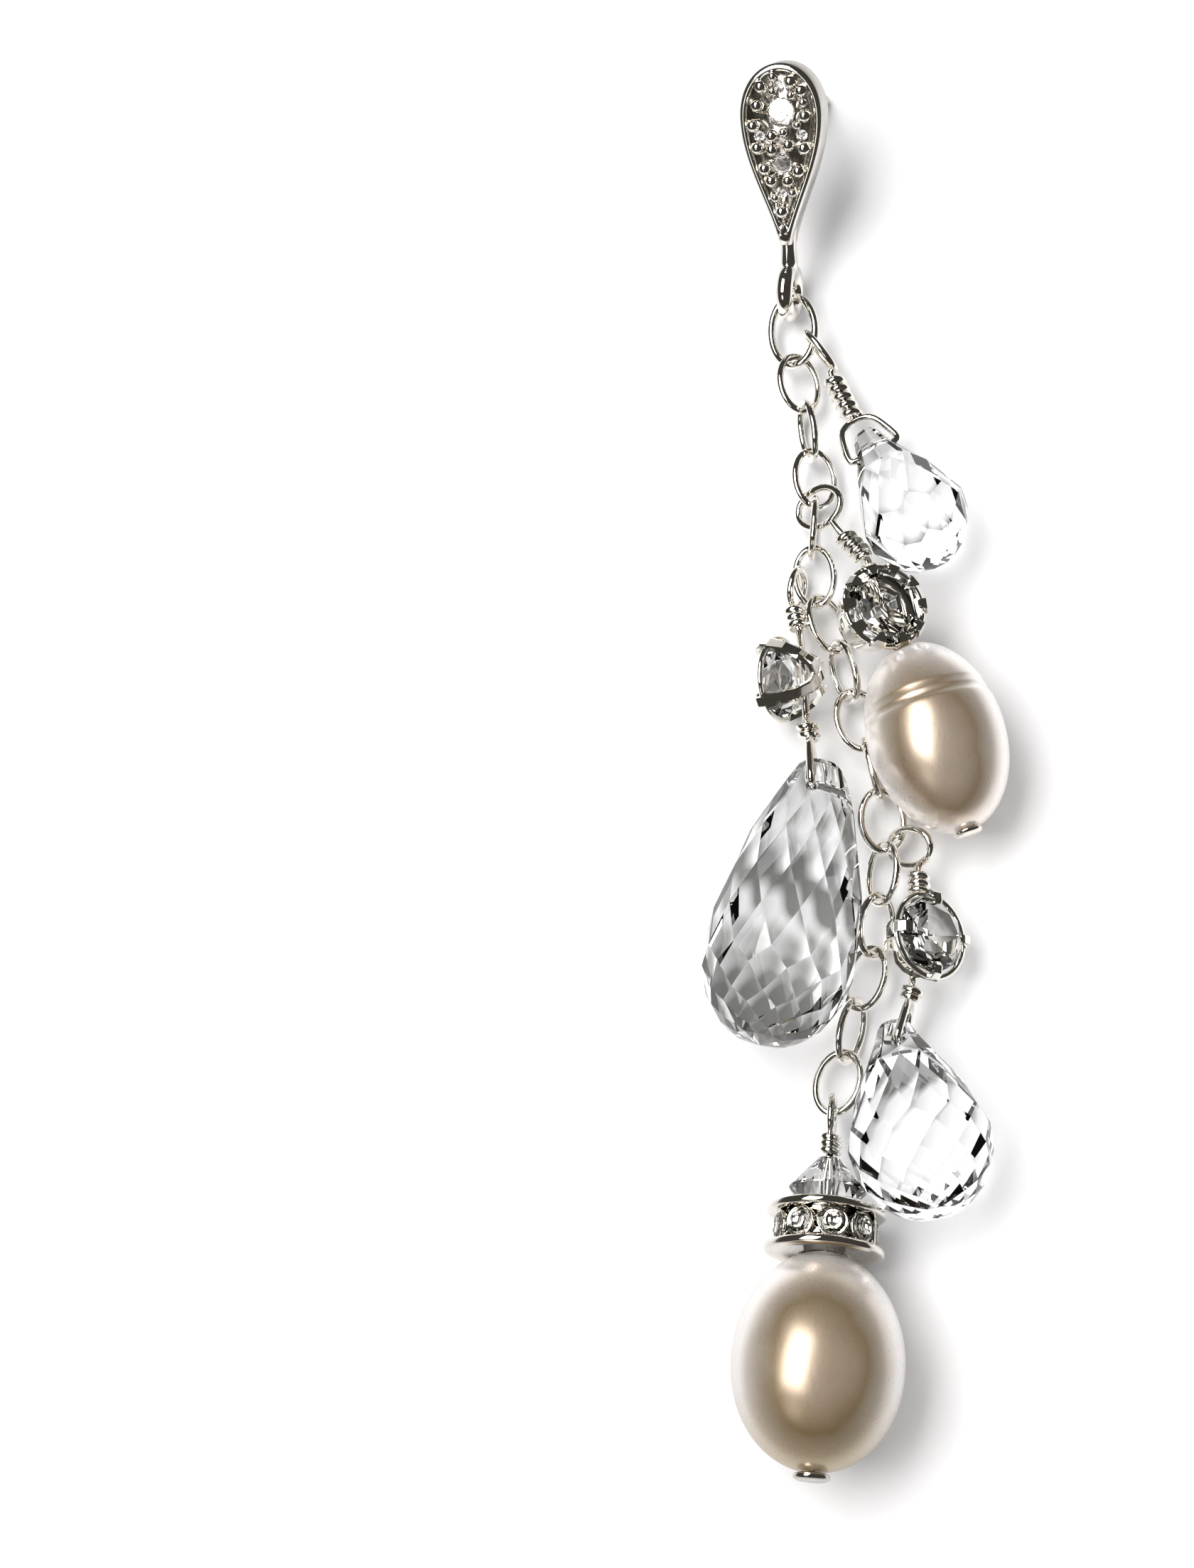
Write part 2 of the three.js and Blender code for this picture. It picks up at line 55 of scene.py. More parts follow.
# ---- places shared with the CAD model, in its own millimetres before it is centred ----
WIRE = 0.2
TOP_RING_PLACE = at(-4.21, 24.75, 1.56)
LINK = {"length": 3.7, "width": 2.7, "wire": 0.2}
STUD = {"length": 9.5, "width": 4.6, "depth": 1.8, "pitch": 35.0, "roll": 10.0, "tip": at(-4.42, 29.44, 0)}
STUD_LOOP = {"drop": 2.9, "radius": 1.18, "wire": 0.47}
POST = {"up": 6.5, "radius": 0.4, "start": 0.2}
UNITS = {
    "small": {
        "loop": (at(-2.65, 23.38, 1.8), at(0.61, -0.77, -0.17), at(0.94, 0.35, 0), 3.0, 2.0),
        "coils": [(at(-1.98, 21.85, 1.7), at(-0.7, 19.2, 1.85), 4.6)],
    },
    "side": {
        "loop": (at(-2.51, 14.19, 1.93), at(0.83, 0, 0.56), at(-0.57, 0, 0.82), 3.3, 2.67),
        "coils": [(at(-1.2, 12.5, 2.3), at(0.25, 10.85, 2.6), 3.4)],
    },
    "long": {
        "loop": (at(-3.65, 9.79, 1.38), at(-0.18, -0.98, -0.1), at(0.93, 0.2, 0.3), 2.54, 2.14),
        "coils": [(at(-3.8, 8.6, 1.4), at(-3.4, 7.1, 2.1), 2.5), (at(-2.85, 1.9, 2.85), at(-2.6, 0.75, 2.8), 1.7)],
    },
    "round": {
        "loop": (at(2.58, -4.6, 1.66), at(0.79, -0.02, 0.61), at(-0.57, -0.33, 0.75), 3.19, 2.34),
        "coils": [(at(3.05, -5.95, 2.0), at(3.15, -7.4, 2.3), 2.5), (at(2.9, -12.0, 2.5), at(2.75, -12.9, 2.5), 1.4)],
    },
}
CHATONS = {
    "side": {"through": at(0.6, 7.4, 3.8), "faces": at(0.45, 0.05, 0.89), "along": at(0.2, -1, 0.1)},
    "long": {"through": at(-3.0, 4.3, 2.9), "faces": at(-0.92, 0.05, -0.38), "along": at(0.08, -1, 0)},
    "round": {"through": at(2.75, -9.75, 2.4), "faces": at(0.68, 0.1, 0.73), "along": at(-0.05, -1, 0.05)},
}
CHATON_WIRE_HEIGHT = 0.95
DROPS = {
    "small": {"top": at(-0.1, 18.35, 2.0), "hole": at(0.49, 17.26, 2.17), "across": at(0.88, 0.48, 0), "reach": 1.4},
    "long": {"top": at(-1.97, -0.45, 2.8), "hole": at(-2.29, -2.25, 3.0), "across": at(0, 0.1, 1), "reach": 2.3},
    "round": {"top": at(1.9, -14.0, 2.63), "hole": at(2.19, -15.3, 2.83), "across": at(0, 0.15, 1), "reach": 1.6},
}
SIDE_PEARL = {"place": at(3.98, 0.82, 3.59), "along": at(-0.317, 0.948, 0), "width": 7.14, "length": 10.4}
MAIN_PEARL = {"width": 8.54, "length": 10.7, "fullness": 0.035}
MAIN = {
    "place": at(-1.43, -30.95, 4.29),
    "dip": 10.0,
    "turn": 1.3,
    "coil": (10.25, 11.55, 2.6),
    "loop": (12.45, 2.33, 2.14),
    "head": (0.9, -5.72, -5.42),
}
RONDELLE = {"low": 5.2, "high": 7.6, "radius": 3.0, "rim": 0.42, "bore": 1.3, "core": 2.0}
BICONE = {"belt": 8.55, "half": 1.6, "radius": 1.95, "end": 0.55}

# ---- the studio ----
CAMERA = {"place": at(9.06, -33.02, 129.31), "pitch": 14.0, "yaw": 10.0, "lens": 57.117, "sensor": 36.0}
PAPER_SHEET = {"side": 1.2, "cells": 24, "drop": 0.00002}
# Name, place, target, size, watts, colour, and whether mirrors see it; in metres.
LIGHTS = [
    ("window", at(-0.15, 0.04, 0.34), at(0, 0, 0), (0.34, 0.2), 1.6, (1.0, 0.985, 0.98), True),
    ("ceiling", at(0.02, 0.12, 0.45), at(0, 0, 0), (0.3, 0.3), 0.4, (0.98, 0.99, 1.0), False),
    ("glow", at(-0.19, -0.28, 0.3), at(0, 0.02, 0), (0.16, 0.12), 0.08, (1.0, 0.99, 0.97), True),
    ("front", at(0.05, -0.3, 0.3), at(0, 0.01, 0), (0.25, 0.2), 0.4, (0.97, 0.98, 1.0), False),
    ("side", at(0.32, 0.04, 0.2), at(0, 0, 0), (0.3, 0.2), 0.42, (0.98, 0.98, 1.0), False),
]


def cad_shift():
    low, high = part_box("top_ring")
    return (Vector(low) + Vector(high)) / 2 - TOP_RING_PLACE * MM


TO_ROW = Matrix.Translation(cad_shift()) @ Matrix.Scale(MM, 4)


def placement(place, along, front):
    """Local Y runs along the piece and local Z faces out of it."""
    y = along.normalized()
    x = y.cross(front).normalized()
    z = x.cross(y)
    turn = Matrix((x, y, z)).transposed().to_4x4()
    return Matrix.Translation(place) @ turn


# ---- meshes ----
def mesh_of(name, vertices, faces, smooth=True):
    mesh = bpy.data.meshes.new(name)
    mesh.from_pydata([tuple(v) for v in vertices], [], faces)
    mesh.validate()
    mesh.update()
    if smooth:
        mesh.shade_smooth()
    return mesh


def moved(mesh, matrix):
    mesh.transform(matrix)
    return mesh


def merged(name, meshes):
    vertices, faces, smooth, paint = [], [], [], []
    for mesh in meshes:
        start = len(vertices)
        vertices.extend(v.co.copy() for v in mesh.vertices)
        for face in mesh.polygons:
            faces.append([start + index for index in face.vertices])
            smooth.append(face.use_smooth)
            paint.append(face.material_index)
    whole = bpy.data.meshes.new(name)
    whole.from_pydata([tuple(v) for v in vertices], [], faces)
    whole.polygons.foreach_set("use_smooth", smooth)
    whole.polygons.foreach_set("material_index", paint)
    whole.update()
    return whole


def lathe(name, profile, sides, smooth=True, closed=False):
    """Turns (radius, height) pairs about local Y. Ends at radius 0 close on one point."""
    vertices, rows = [], []
    for radius, height in profile:
        if radius < 1e-6:
            rows.append([len(vertices)])
            vertices.append((0, height, 0))
        else:
            rows.append(list(range(len(vertices), len(vertices) + sides)))
            for side in range(sides):
                angle = 2 * math.pi * side / sides
                vertices.append((radius * math.sin(angle), height, radius * math.cos(angle)))
    pairs = list(zip(rows, rows[1:]))
    if closed:
        pairs.append((rows[-1], rows[0]))
    faces = []
    for low, high in pairs:
        for side in range(sides):
            after = (side + 1) % sides
            if len(low) == 1:
                faces.append((low[0], high[after], high[side]))
            elif len(high) == 1:
                faces.append((low[side], low[after], high[0]))
            else:
                faces.append((low[side], low[after], high[after], high[side]))
    return mesh_of(name, vertices, faces, smooth)


def strip(name, path, width, thickness):
    """A bent strip across local X whose middle follows (reach, height) pairs in the YZ plane."""
    vertices, faces = [], []
    for index, (reach, height) in enumerate(path):
        before = path[max(0, index - 1)]
        after = path[min(len(path) - 1, index + 1)]
        run = Vector((after[0] - before[0], after[1] - before[1])).normalized()
        off = Vector((run.y, -run.x)) * thickness / 2
        half = width[index] / 2
        for x, side in ((-half, 1), (-0.7 * half, 1.25), (0.7 * half, 1.25), (half, 1), (half, -1), (-half, -1)):
            vertices.append((x, height + off.y * side, reach + off.x * side))
    ring = 6
    for row in range(len(path) - 1):
        for corner in range(ring):
            after = (corner + 1) % ring
            low, high = row * ring, (row + 1) * ring
            faces.append((low + corner, low + after, high + after, high + corner))
    faces.append(tuple(reversed(range(ring))))
    faces.append(tuple(range((len(path) - 1) * ring, len(path) * ring)))
    return outward(mesh_of(name, vertices, faces, smooth=False))


def outward(mesh):
    work = bmesh.new()
    work.from_mesh(mesh)
    bmesh.ops.recalc_face_normals(work, faces=work.faces)
    work.to_mesh(mesh)
    work.free()
    return mesh


def smooth_path(points, closed, steps=10):
    """Points on a Catmull-Rom curve through the given ones."""
    count = len(points)
    spots = []
    for index in range(count if closed else count - 1):
        if closed:
            a, b, c, d = (points[(index + k - 1) % count] for k in range(4))
        else:
            a, b, c, d = (points[min(max(index + k - 1, 0), count - 1)] for k in range(4))
        for step in range(steps):
            t = step / steps
            spots.append(
                0.5 * ((2 * b) + (c - a) * t + (2 * a - 5 * b + 4 * c - d) * t**2 + (3 * b - a - 3 * c + d) * t**3)
            )
    if not closed:
        spots.append(points[-1].copy())
    return spots


# ---- geometry node trees ----
def new_tree(name, inputs):
    tree = bpy.data.node_groups.new(name, "GeometryNodeTree")
    tree.interface.new_socket("Geometry", in_out="OUTPUT", socket_type="NodeSocketGeometry")
    for label, kind in inputs:
        tree.interface.new_socket(label, in_out="INPUT", socket_type="NodeSocket" + kind)
    return tree, tree.nodes.new("NodeGroupInput"), tree.nodes.new("NodeGroupOutput")


def copies_tree():
    """A copy of the shape at each point, turned and sized by the attributes turn and size."""
    inputs = [("Points", "Geometry"), ("Shape", "Object"), ("Material", "Material")]
    tree, start, end = new_tree("copies_on_points", inputs)
    shape = tree.nodes.new("GeometryNodeObjectInfo")
    turn = tree.nodes.new("GeometryNodeInputNamedAttribute")
    turn.data_type = "FLOAT_VECTOR"
    turn.inputs["Name"].default_value = "turn"
    size = tree.nodes.new("GeometryNodeInputNamedAttribute")
    size.data_type = "FLOAT_VECTOR"
    size.inputs["Name"].default_value = "size"
    place = tree.nodes.new("GeometryNodeInstanceOnPoints")
    real = tree.nodes.new("GeometryNodeRealizeInstances")
    paint = tree.nodes.new("GeometryNodeSetMaterial")
    link = tree.links.new
    link(start.outputs["Points"], place.inputs["Points"])
    link(start.outputs["Shape"], shape.inputs["Object"])
    link(shape.outputs["Geometry"], place.inputs["Instance"])
    link(turn.outputs["Attribute"], place.inputs["Rotation"])
    link(size.outputs["Attribute"], place.inputs["Scale"])
    link(place.outputs["Instances"], real.inputs["Geometry"])
    link(real.outputs["Geometry"], paint.inputs["Geometry"])
    link(start.outputs["Material"], paint.inputs["Material"])
    link(paint.outputs["Geometry"], end.inputs["Geometry"])
    return tree


def wire_tree():
    """A round wire along a line of edges."""
    tree, start, end = new_tree("round_wire", [("Line", "Geometry"), ("Radius", "Float"), ("Material", "Material")])
    line = tree.nodes.new("GeometryNodeMeshToCurve")
    section = tree.nodes.new("GeometryNodeCurvePrimitiveCircle")
    section.inputs["Resolution"].default_value = 12
    sweep = tree.nodes.new("GeometryNodeCurveToMesh")
    sweep.inputs["Fill Caps"].default_value = True
    smooth = tree.nodes.new("GeometryNodeSetShadeSmooth")
    real = tree.nodes.new("GeometryNodeRealizeInstances")
    paint = tree.nodes.new("GeometryNodeSetMaterial")
    link = tree.links.new
    link(start.outputs["Line"], line.inputs["Mesh"])
    link(start.outputs["Radius"], section.inputs["Radius"])
    link(line.outputs["Curve"], sweep.inputs["Curve"])
    link(section.outputs["Curve"], sweep.inputs["Profile Curve"])
    link(sweep.outputs["Mesh"], smooth.inputs["Geometry"])
    link(smooth.outputs["Geometry"], real.inputs["Geometry"])
    link(real.outputs["Geometry"], paint.inputs["Geometry"])
    link(start.outputs["Material"], paint.inputs["Material"])
    link(paint.outputs["Geometry"], end.inputs["Geometry"])
    return tree


def coil_tree():
    """A wire wrapped round a pin on local Z."""
    inputs = [("Line", "Geometry"), ("Turns", "Float"), ("Radius", "Float"), ("Length", "Float"), ("Wire", "Float")]
    tree, start, end = new_tree("wrapped_coil", inputs + [("Material", "Material")])
    spiral = tree.nodes.new("GeometryNodeCurveSpiral")
    spiral.inputs["Resolution"].default_value = 20
    section = tree.nodes.new("GeometryNodeCurvePrimitiveCircle")
    section.inputs["Resolution"].default_value = 10
    sweep = tree.nodes.new("GeometryNodeCurveToMesh")
    sweep.inputs["Fill Caps"].default_value = True
    smooth = tree.nodes.new("GeometryNodeSetShadeSmooth")
    real = tree.nodes.new("GeometryNodeRealizeInstances")
    paint = tree.nodes.new("GeometryNodeSetMaterial")
    link = tree.links.new
    link(start.outputs["Turns"], spiral.inputs["Rotations"])
    link(start.outputs["Radius"], spiral.inputs["Start Radius"])
    link(start.outputs["Radius"], spiral.inputs["End Radius"])
    link(start.outputs["Length"], spiral.inputs["Height"])
    link(start.outputs["Wire"], section.inputs["Radius"])
    link(spiral.outputs["Curve"], sweep.inputs["Curve"])
    link(section.outputs["Curve"], sweep.inputs["Profile Curve"])
    link(sweep.outputs["Mesh"], smooth.inputs["Geometry"])
    link(smooth.outputs["Geometry"], real.inputs["Geometry"])
    link(real.outputs["Geometry"], paint.inputs["Geometry"])
    link(start.outputs["Material"], paint.inputs["Material"])
    link(paint.outputs["Geometry"], end.inputs["Geometry"])
    return tree


def grown(tree, base, values):
    """The plain mesh that a tree makes from a base mesh and named values."""
    worker = bpy.data.objects.new("worker", base)
    bpy.context.scene.collection.objects.link(worker)
    nodes = worker.modifiers.new("grow", "NODES")
    nodes.node_group = tree
    for socket in tree.interface.items_tree:
        if socket.in_out == "INPUT" and socket.name in values:
            nodes[socket.identifier] = values[socket.name]
    graph = bpy.context.evaluated_depsgraph_get()
    mesh = bpy.data.meshes.new_from_object(worker.evaluated_get(graph))
    bpy.data.objects.remove(worker)
    return mesh


def copies(shape, places, material):
    """Copies of a mesh at (matrix, size) places, as one mesh."""
    pattern = bpy.data.objects.new("pattern", shape)
    bpy.context.scene.collection.objects.link(pattern)
    base = bpy.data.meshes.new("places")
    base.from_pydata([tuple(matrix.translation) for matrix, size in places], [], [])
    turn = base.attributes.new("turn", "FLOAT_VECTOR", "POINT")
    size_of = base.attributes.new("size", "FLOAT_VECTOR", "POINT")
    for index, (matrix, size) in enumerate(places):
        turn.data[index].vector = matrix.to_euler("XYZ")
        size_of.data[index].vector = (size, size, size)
    mesh = grown(COPIES, base, {"Shape": pattern, "Material": material})
    bpy.data.objects.remove(pattern)
    return mesh


def wire(points, closed=False, radius=WIRE):
    base = bpy.data.meshes.new("line")
    edges = [(index, index + 1) for index in range(len(points) - 1)]
    if closed:
        edges.append((len(points) - 1, 0))
    base.from_pydata([tuple(p) for p in points], edges, [])
    return outward(grown(WIRES, base, {"Radius": radius}))


def oval_points(length, width, count=40):
    spots = []
    for step in range(count):
        turn = 2 * math.pi * step / count
        spots.append(at(width / 2 * math.sin(turn), length / 2 * math.cos(turn), 0))
    return spots


def oval_ring(length, width, radius=WIRE):
    return wire(oval_points(length - 2 * radius, width - 2 * radius), closed=True, radius=radius)


def wrapped_coil(start, end, turns, gauge=0.22):
    """A coil of true helical wire round the pin between two points."""
    length = (end - start).length
    empty = bpy.data.meshes.new("empty")
    empty.from_pydata([(0, 0, 0)], [], [])
    values = {"Turns": turns, "Radius": WIRE + gauge - 0.02, "Length": length - 2 * gauge, "Wire": gauge}
    mesh = outward(grown(COILS, empty, values))
    front = at(0, 0, 1) if abs((end - start).normalized().z) < 0.9 else at(1, 0, 0)
    upright = Matrix.Rotation(math.radians(-90), 4, "X") @ Matrix.Translation((0, 0, gauge))
    return moved(mesh, placement(start, end - start, front) @ upright)


COPIES = copies_tree()
WIRES = wire_tree()
COILS = coil_tree()


# ---- shader groups ----
def new_group(name, inputs, outputs):
    group = bpy.data.node_groups.new(name, "ShaderNodeTree")
    for label, kind, value in inputs:
        socket = group.interface.new_socket(label, in_out="INPUT", socket_type="NodeSocket" + kind)
        socket.default_value = value
    for label, kind in outputs:
        group.interface.new_socket(label, in_out="OUTPUT", socket_type="NodeSocket" + kind)
    return group, group.nodes.new("NodeGroupInput"), group.nodes.new("NodeGroupOutput")


def handling_marks():
    """Soft patches and fine hairlines, as two masks and a height."""
    group, start, end = new_group(
        "handling_marks", [("Patch Scale", "Float", 700.0), ("Hair Scale", "Float", 4000.0)],
        [("Patches", "Float"), ("Hairlines", "Float"), ("Height", "Float")],
    )
    nodes, link = group.nodes, group.links.new
    place = nodes.new("ShaderNodeTexCoord")
    patch = nodes.new("ShaderNodeTexNoise")
    patch.inputs["Detail"].default_value = 4.0
    stretch = nodes.new("ShaderNodeMapping")
    stretch.inputs["Scale"].default_value = (1.0, 0.12, 1.0)
    stretch.inputs["Rotation"].default_value = (0.3, 0.2, 0.6)
    hair = nodes.new("ShaderNodeTexNoise")
    hair.inputs["Detail"].default_value = 2.0
    both = nodes.new("ShaderNodeMath")
    both.operation = "MULTIPLY_ADD"
    both.inputs[1].default_value = 0.6
    link(place.outputs["Object"], patch.inputs["Vector"])
    link(place.outputs["Object"], stretch.inputs["Vector"])
    link(stretch.outputs["Vector"], hair.inputs["Vector"])
    link(start.outputs["Patch Scale"], patch.inputs["Scale"])
    link(start.outputs["Hair Scale"], hair.inputs["Scale"])
    link(hair.outputs["Fac"], both.inputs[0])
    link(patch.outputs["Fac"], both.inputs[2])
    link(patch.outputs["Fac"], end.inputs["Patches"])
    link(hair.outputs["Fac"], end.inputs["Hairlines"])
    link(both.outputs["Value"], end.inputs["Height"])
    return group


MARKS = handling_marks()


def new_material(name):
    material = bpy.data.materials.new(name)
    material.use_nodes = True
    nodes = material.node_tree.nodes
    shader = nodes["Principled BSDF"]
    return material, nodes, material.node_tree.links.new, shader


def add_marks(nodes, patch_scale, hair_scale):
    marks = nodes.new("ShaderNodeGroup")
    marks.node_tree = MARKS
    marks.inputs["Patch Scale"].default_value = patch_scale
    marks.inputs["Hair Scale"].default_value = hair_scale
    return marks


def ranged(nodes, link, source, low, high):
    scale = nodes.new("ShaderNodeMapRange")
    scale.inputs["From Min"].default_value = 0.3
    scale.inputs["From Max"].default_value = 0.7
    scale.inputs["To Min"].default_value = low
    scale.inputs["To Max"].default_value = high
    link(source, scale.inputs["Value"])
    return scale.outputs["Result"]


def ramp(nodes, link, source, stops):
    colours = nodes.new("ShaderNodeValToRGB")
    band = colours.color_ramp
    band.elements[0].position, band.elements[0].color = stops[0][0], (*stops[0][1], 1)
    band.elements[1].position, band.elements[1].color = stops[-1][0], (*stops[-1][1], 1)
    for place, colour in stops[1:-1]:
        band.elements.new(place).color = (*colour, 1)
    link(source, colours.inputs["Fac"])
    return colours.outputs["Color"]


def bumped(nodes, link, height, shader, strength, distance):
    bump = nodes.new("ShaderNodeBump")
    bump.inputs["Strength"].default_value = strength
    bump.inputs["Distance"].default_value = distance
    link(height, bump.inputs["Height"])
    link(bump.outputs["Normal"], shader.inputs["Normal"])


def silver(name, light, dark, smoothest, roughest):
    material, nodes, link, shader = new_material(name)
    marks = add_marks(nodes, 900.0, 6000.0)
    shader.inputs["Metallic"].default_value = 1.0
    link(ramp(nodes, link, marks.outputs["Patches"], [(0.35, dark), (0.62, light)]), shader.inputs["Base Color"])
    link(ranged(nodes, link, marks.outputs["Hairlines"], smoothest, roughest), shader.inputs["Roughness"])
    bumped(nodes, link, marks.outputs["Height"], shader, 0.06, 0.000006)
    return material


def let_light_through(nodes, link, shader, share):
    """Shadow rays pass mostly straight through, as light does through clear stone."""
    path = nodes.new("ShaderNodeLightPath")
    some = nodes.new("ShaderNodeMath")
    some.operation = "MULTIPLY"
    some.inputs[1].default_value = share
    clear = nodes.new("ShaderNodeBsdfTransparent")
    mix = nodes.new("ShaderNodeMixShader")
    link(path.outputs["Is Shadow Ray"], some.inputs[0])
    link(some.outputs["Value"], mix.inputs["Fac"])
    link(shader.outputs["BSDF"], mix.inputs[1])
    link(clear.outputs["BSDF"], mix.inputs[2])
    link(mix.outputs["Shader"], nodes["Material Output"].inputs["Surface"])


def clear_crystal():
    material, nodes, link, shader = new_material("clear_crystal")
    marks = add_marks(nodes, 500.0, 5000.0)
    shader.inputs["Transmission Weight"].default_value = 1.0
    shader.inputs["IOR"].default_value = 1.64
    tint = [(0.35, (0.985, 0.99, 0.995)), (0.65, (1.0, 1.0, 1.0))]
    link(ramp(nodes, link, marks.outputs["Patches"], tint), shader.inputs["Base Color"])
    link(ranged(nodes, link, marks.outputs["Hairlines"], 0.0, 0.012), shader.inputs["Roughness"])
    bumped(nodes, link, marks.outputs["Height"], shader, 0.03, 0.000005)
    let_light_through(nodes, link, shader, 0.4)
    return material


def foil():
    material, nodes, link, shader = new_material("foil_backing")
    marks = add_marks(nodes, 1500.0, 6000.0)
    shader.inputs["Metallic"].default_value = 1.0
    tone = [(0.35, (0.55, 0.6, 0.62)), (0.65, (0.9, 0.92, 0.92))]
    # The foil mirrors into the stone, and its lacquered back is dark.
    side = nodes.new("ShaderNodeNewGeometry")
    faces = nodes.new("ShaderNodeMix")
    faces.data_type = "RGBA"
    faces.inputs["A"].default_value = (0.16, 0.14, 0.1, 1)
    link(side.outputs["Backfacing"], faces.inputs["Factor"])
    link(ramp(nodes, link, marks.outputs["Patches"], tone), faces.inputs["B"])
    link(faces.outputs["Result"], shader.inputs["Base Color"])
    link(ranged(nodes, link, marks.outputs["Hairlines"], 0.02, 0.08), shader.inputs["Roughness"])
    return material


def nacre(name, heart, belt, shoulder, rim, low_tone):
    material, nodes, link, shader = new_material(name)
    marks = add_marks(nodes, 260.0, 9000.0)
    # Partly the pearl's own cream and brown, partly painted reflection: by facing, the middle is painted lighter like
    # a highlight, the belts painted dark for a dim room, and the rim painted white for the paper the pearl mirrors.
    view = nodes.new("ShaderNodeLayerWeight")
    view.inputs["Blend"].default_value = 0.5
    wander = nodes.new("ShaderNodeMath")
    wander.operation = "MULTIPLY_ADD"
    wander.inputs[1].default_value = 0.22
    link(marks.outputs["Patches"], wander.inputs[0])
    link(view.outputs["Facing"], wander.inputs[2])
    stops = [(0.12, heart), (0.28, belt), (0.5, shoulder), (0.7, rim)]
    # The lower side takes a deeper tone.
    place = nodes.new("ShaderNodeTexCoord")
    split = nodes.new("ShaderNodeSeparateXYZ")
    lowness = nodes.new("ShaderNodeMapRange")
    lowness.inputs["From Min"].default_value = -0.15
    lowness.inputs["From Max"].default_value = -0.85
    deep = nodes.new("ShaderNodeMix")
    deep.data_type = "RGBA"
    deep.blend_type = "MULTIPLY"
    deep.inputs["B"].default_value = (*low_tone, 1)
    link(place.outputs["Normal"], split.inputs["Vector"])
    link(split.outputs["Y"], lowness.inputs["Value"])
    link(lowness.outputs["Result"], deep.inputs["Factor"])
    link(ramp(nodes, link, wander.outputs["Value"], stops), deep.inputs["A"])
    link(deep.outputs["Result"], shader.inputs["Base Color"])
    link(ranged(nodes, link, marks.outputs["Hairlines"], 0.27, 0.33), shader.inputs["Roughness"])
    shader.inputs["Metallic"].default_value = 0.55
    shader.inputs["Coat Weight"].default_value = 0.7
    shader.inputs["Coat Roughness"].default_value = 0.3
    shader.inputs["Coat IOR"].default_value = 1.6
    shader.inputs["Specular Tint"].default_value = (1.0, 0.93, 0.9, 1)
    shader.inputs["Subsurface Weight"].default_value = 0.15
    shader.inputs["Subsurface Scale"].default_value = 0.0006
    bumped(nodes, link, marks.outputs["Height"], shader, 0.04, 0.000008)
    return material


def paper():
    material, nodes, link, shader = new_material("white_paper")
    marks = add_marks(nodes, 60.0, 1500.0)
    tone = ramp(nodes, link, marks.outputs["Patches"], [(0.3, (0.87, 0.87, 0.875)), (0.7, (0.9, 0.9, 0.9))])
    # Painted reflection: to mirror and crystal rays the sheet is painted dark past a long narrow bright middle,
    # standing in for a dim room.
    place = nodes.new("ShaderNodeTexCoord")
    narrow = nodes.new("ShaderNodeVectorMath")
    narrow.operation = "MULTIPLY"
    narrow.inputs[1].default_value = (1.0, 0.6, 0.0)
    reach = nodes.new("ShaderNodeVectorMath")
    reach.operation = "LENGTH"
    past = nodes.new("ShaderNodeMapRange")
    past.inputs["From Min"].default_value = 0.014
    past.inputs["From Max"].default_value = 0.04
    path = nodes.new("ShaderNodeLightPath")
    mirrored = nodes.new("ShaderNodeMath")
    mirrored.operation = "MAXIMUM"
    both = nodes.new("ShaderNodeMath")
    both.operation = "MULTIPLY"
    room = nodes.new("ShaderNodeMix")
    room.data_type = "RGBA"
    room.inputs["B"].default_value = (0.03, 0.028, 0.024, 1)
    link(place.outputs["Object"], narrow.inputs[0])
    link(narrow.outputs["Vector"], reach.inputs[0])
    link(reach.outputs["Value"], past.inputs["Value"])
    link(path.outputs["Is Glossy Ray"], mirrored.inputs[0])
    link(path.outputs["Is Transmission Ray"], mirrored.inputs[1])
    link(past.outputs["Result"], both.inputs[0])
    link(mirrored.outputs["Value"], both.inputs[1])
    link(both.outputs["Value"], room.inputs["Factor"])
    # Painted shade and light: to rays through crystal the sheet is painted with soft dark and light patches.
    patch = nodes.new("ShaderNodeTexNoise")
    patch.inputs["Scale"].default_value = 420.0
    patch.inputs["Detail"].default_value = 0.5
    shade = nodes.new("ShaderNodeMix")
    shade.data_type = "RGBA"
    shade.blend_type = "MULTIPLY"
    link(place.outputs["Object"], patch.inputs["Vector"])
    link(path.outputs["Is Transmission Ray"], shade.inputs["Factor"])
    link(tone, shade.inputs["A"])
    depth = [(0.42, (0.2, 0.2, 0.19)), (0.5, (0.64, 0.64, 0.63)), (0.56, (1.0, 1.0, 1.0))]
    link(ramp(nodes, link, patch.outputs["Fac"], depth), shade.inputs["B"])
    link(shade.outputs["Result"], room.inputs["A"])
    link(room.outputs["Result"], shader.inputs["Base Color"])
    shader.inputs["Roughness"].default_value = 0.7
    bumped(nodes, link, marks.outputs["Height"], shader, 0.08, 0.00005)
    return material


SILVER = silver("polished_silver", (0.95, 0.93, 0.89), (0.85, 0.81, 0.73), 0.02, 0.09)
SHADED_SILVER = silver("shaded_silver", (0.85, 0.82, 0.76), (0.5, 0.46, 0.4), 0.12, 0.3)
CRYSTAL = clear_crystal()
FOIL = foil()
PALE_PEARL = nacre(
    "pale_nacre", (0.55, 0.45, 0.35), (0.38, 0.29, 0.19), (0.82, 0.75, 0.67), (1.0, 0.98, 0.96), (0.98, 0.94, 0.9)
)
PEARL = nacre(
    "nacre", (0.52, 0.41, 0.3), (0.36, 0.27, 0.16), (0.8, 0.72, 0.63), (1.0, 0.98, 0.96), (0.7, 0.6, 0.42)
)
PAPER = paper()


# ---- pieces ----
def finish_piece(name, mesh, materials, slot, *nodes):
    """Puts a mesh, in the CAD model's millimetres, into the row as a piece that stands for its nodes."""
    mesh.name = name
    mesh.transform(TO_ROW)
    mesh.materials.clear()
    for material in materials:
        mesh.materials.append(material)
    piece = bpy.data.objects.new(name, mesh)
    bpy.context.scene.collection.objects.link(piece)
    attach(piece, "root")
    if nodes:
        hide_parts(*nodes)
    return piece


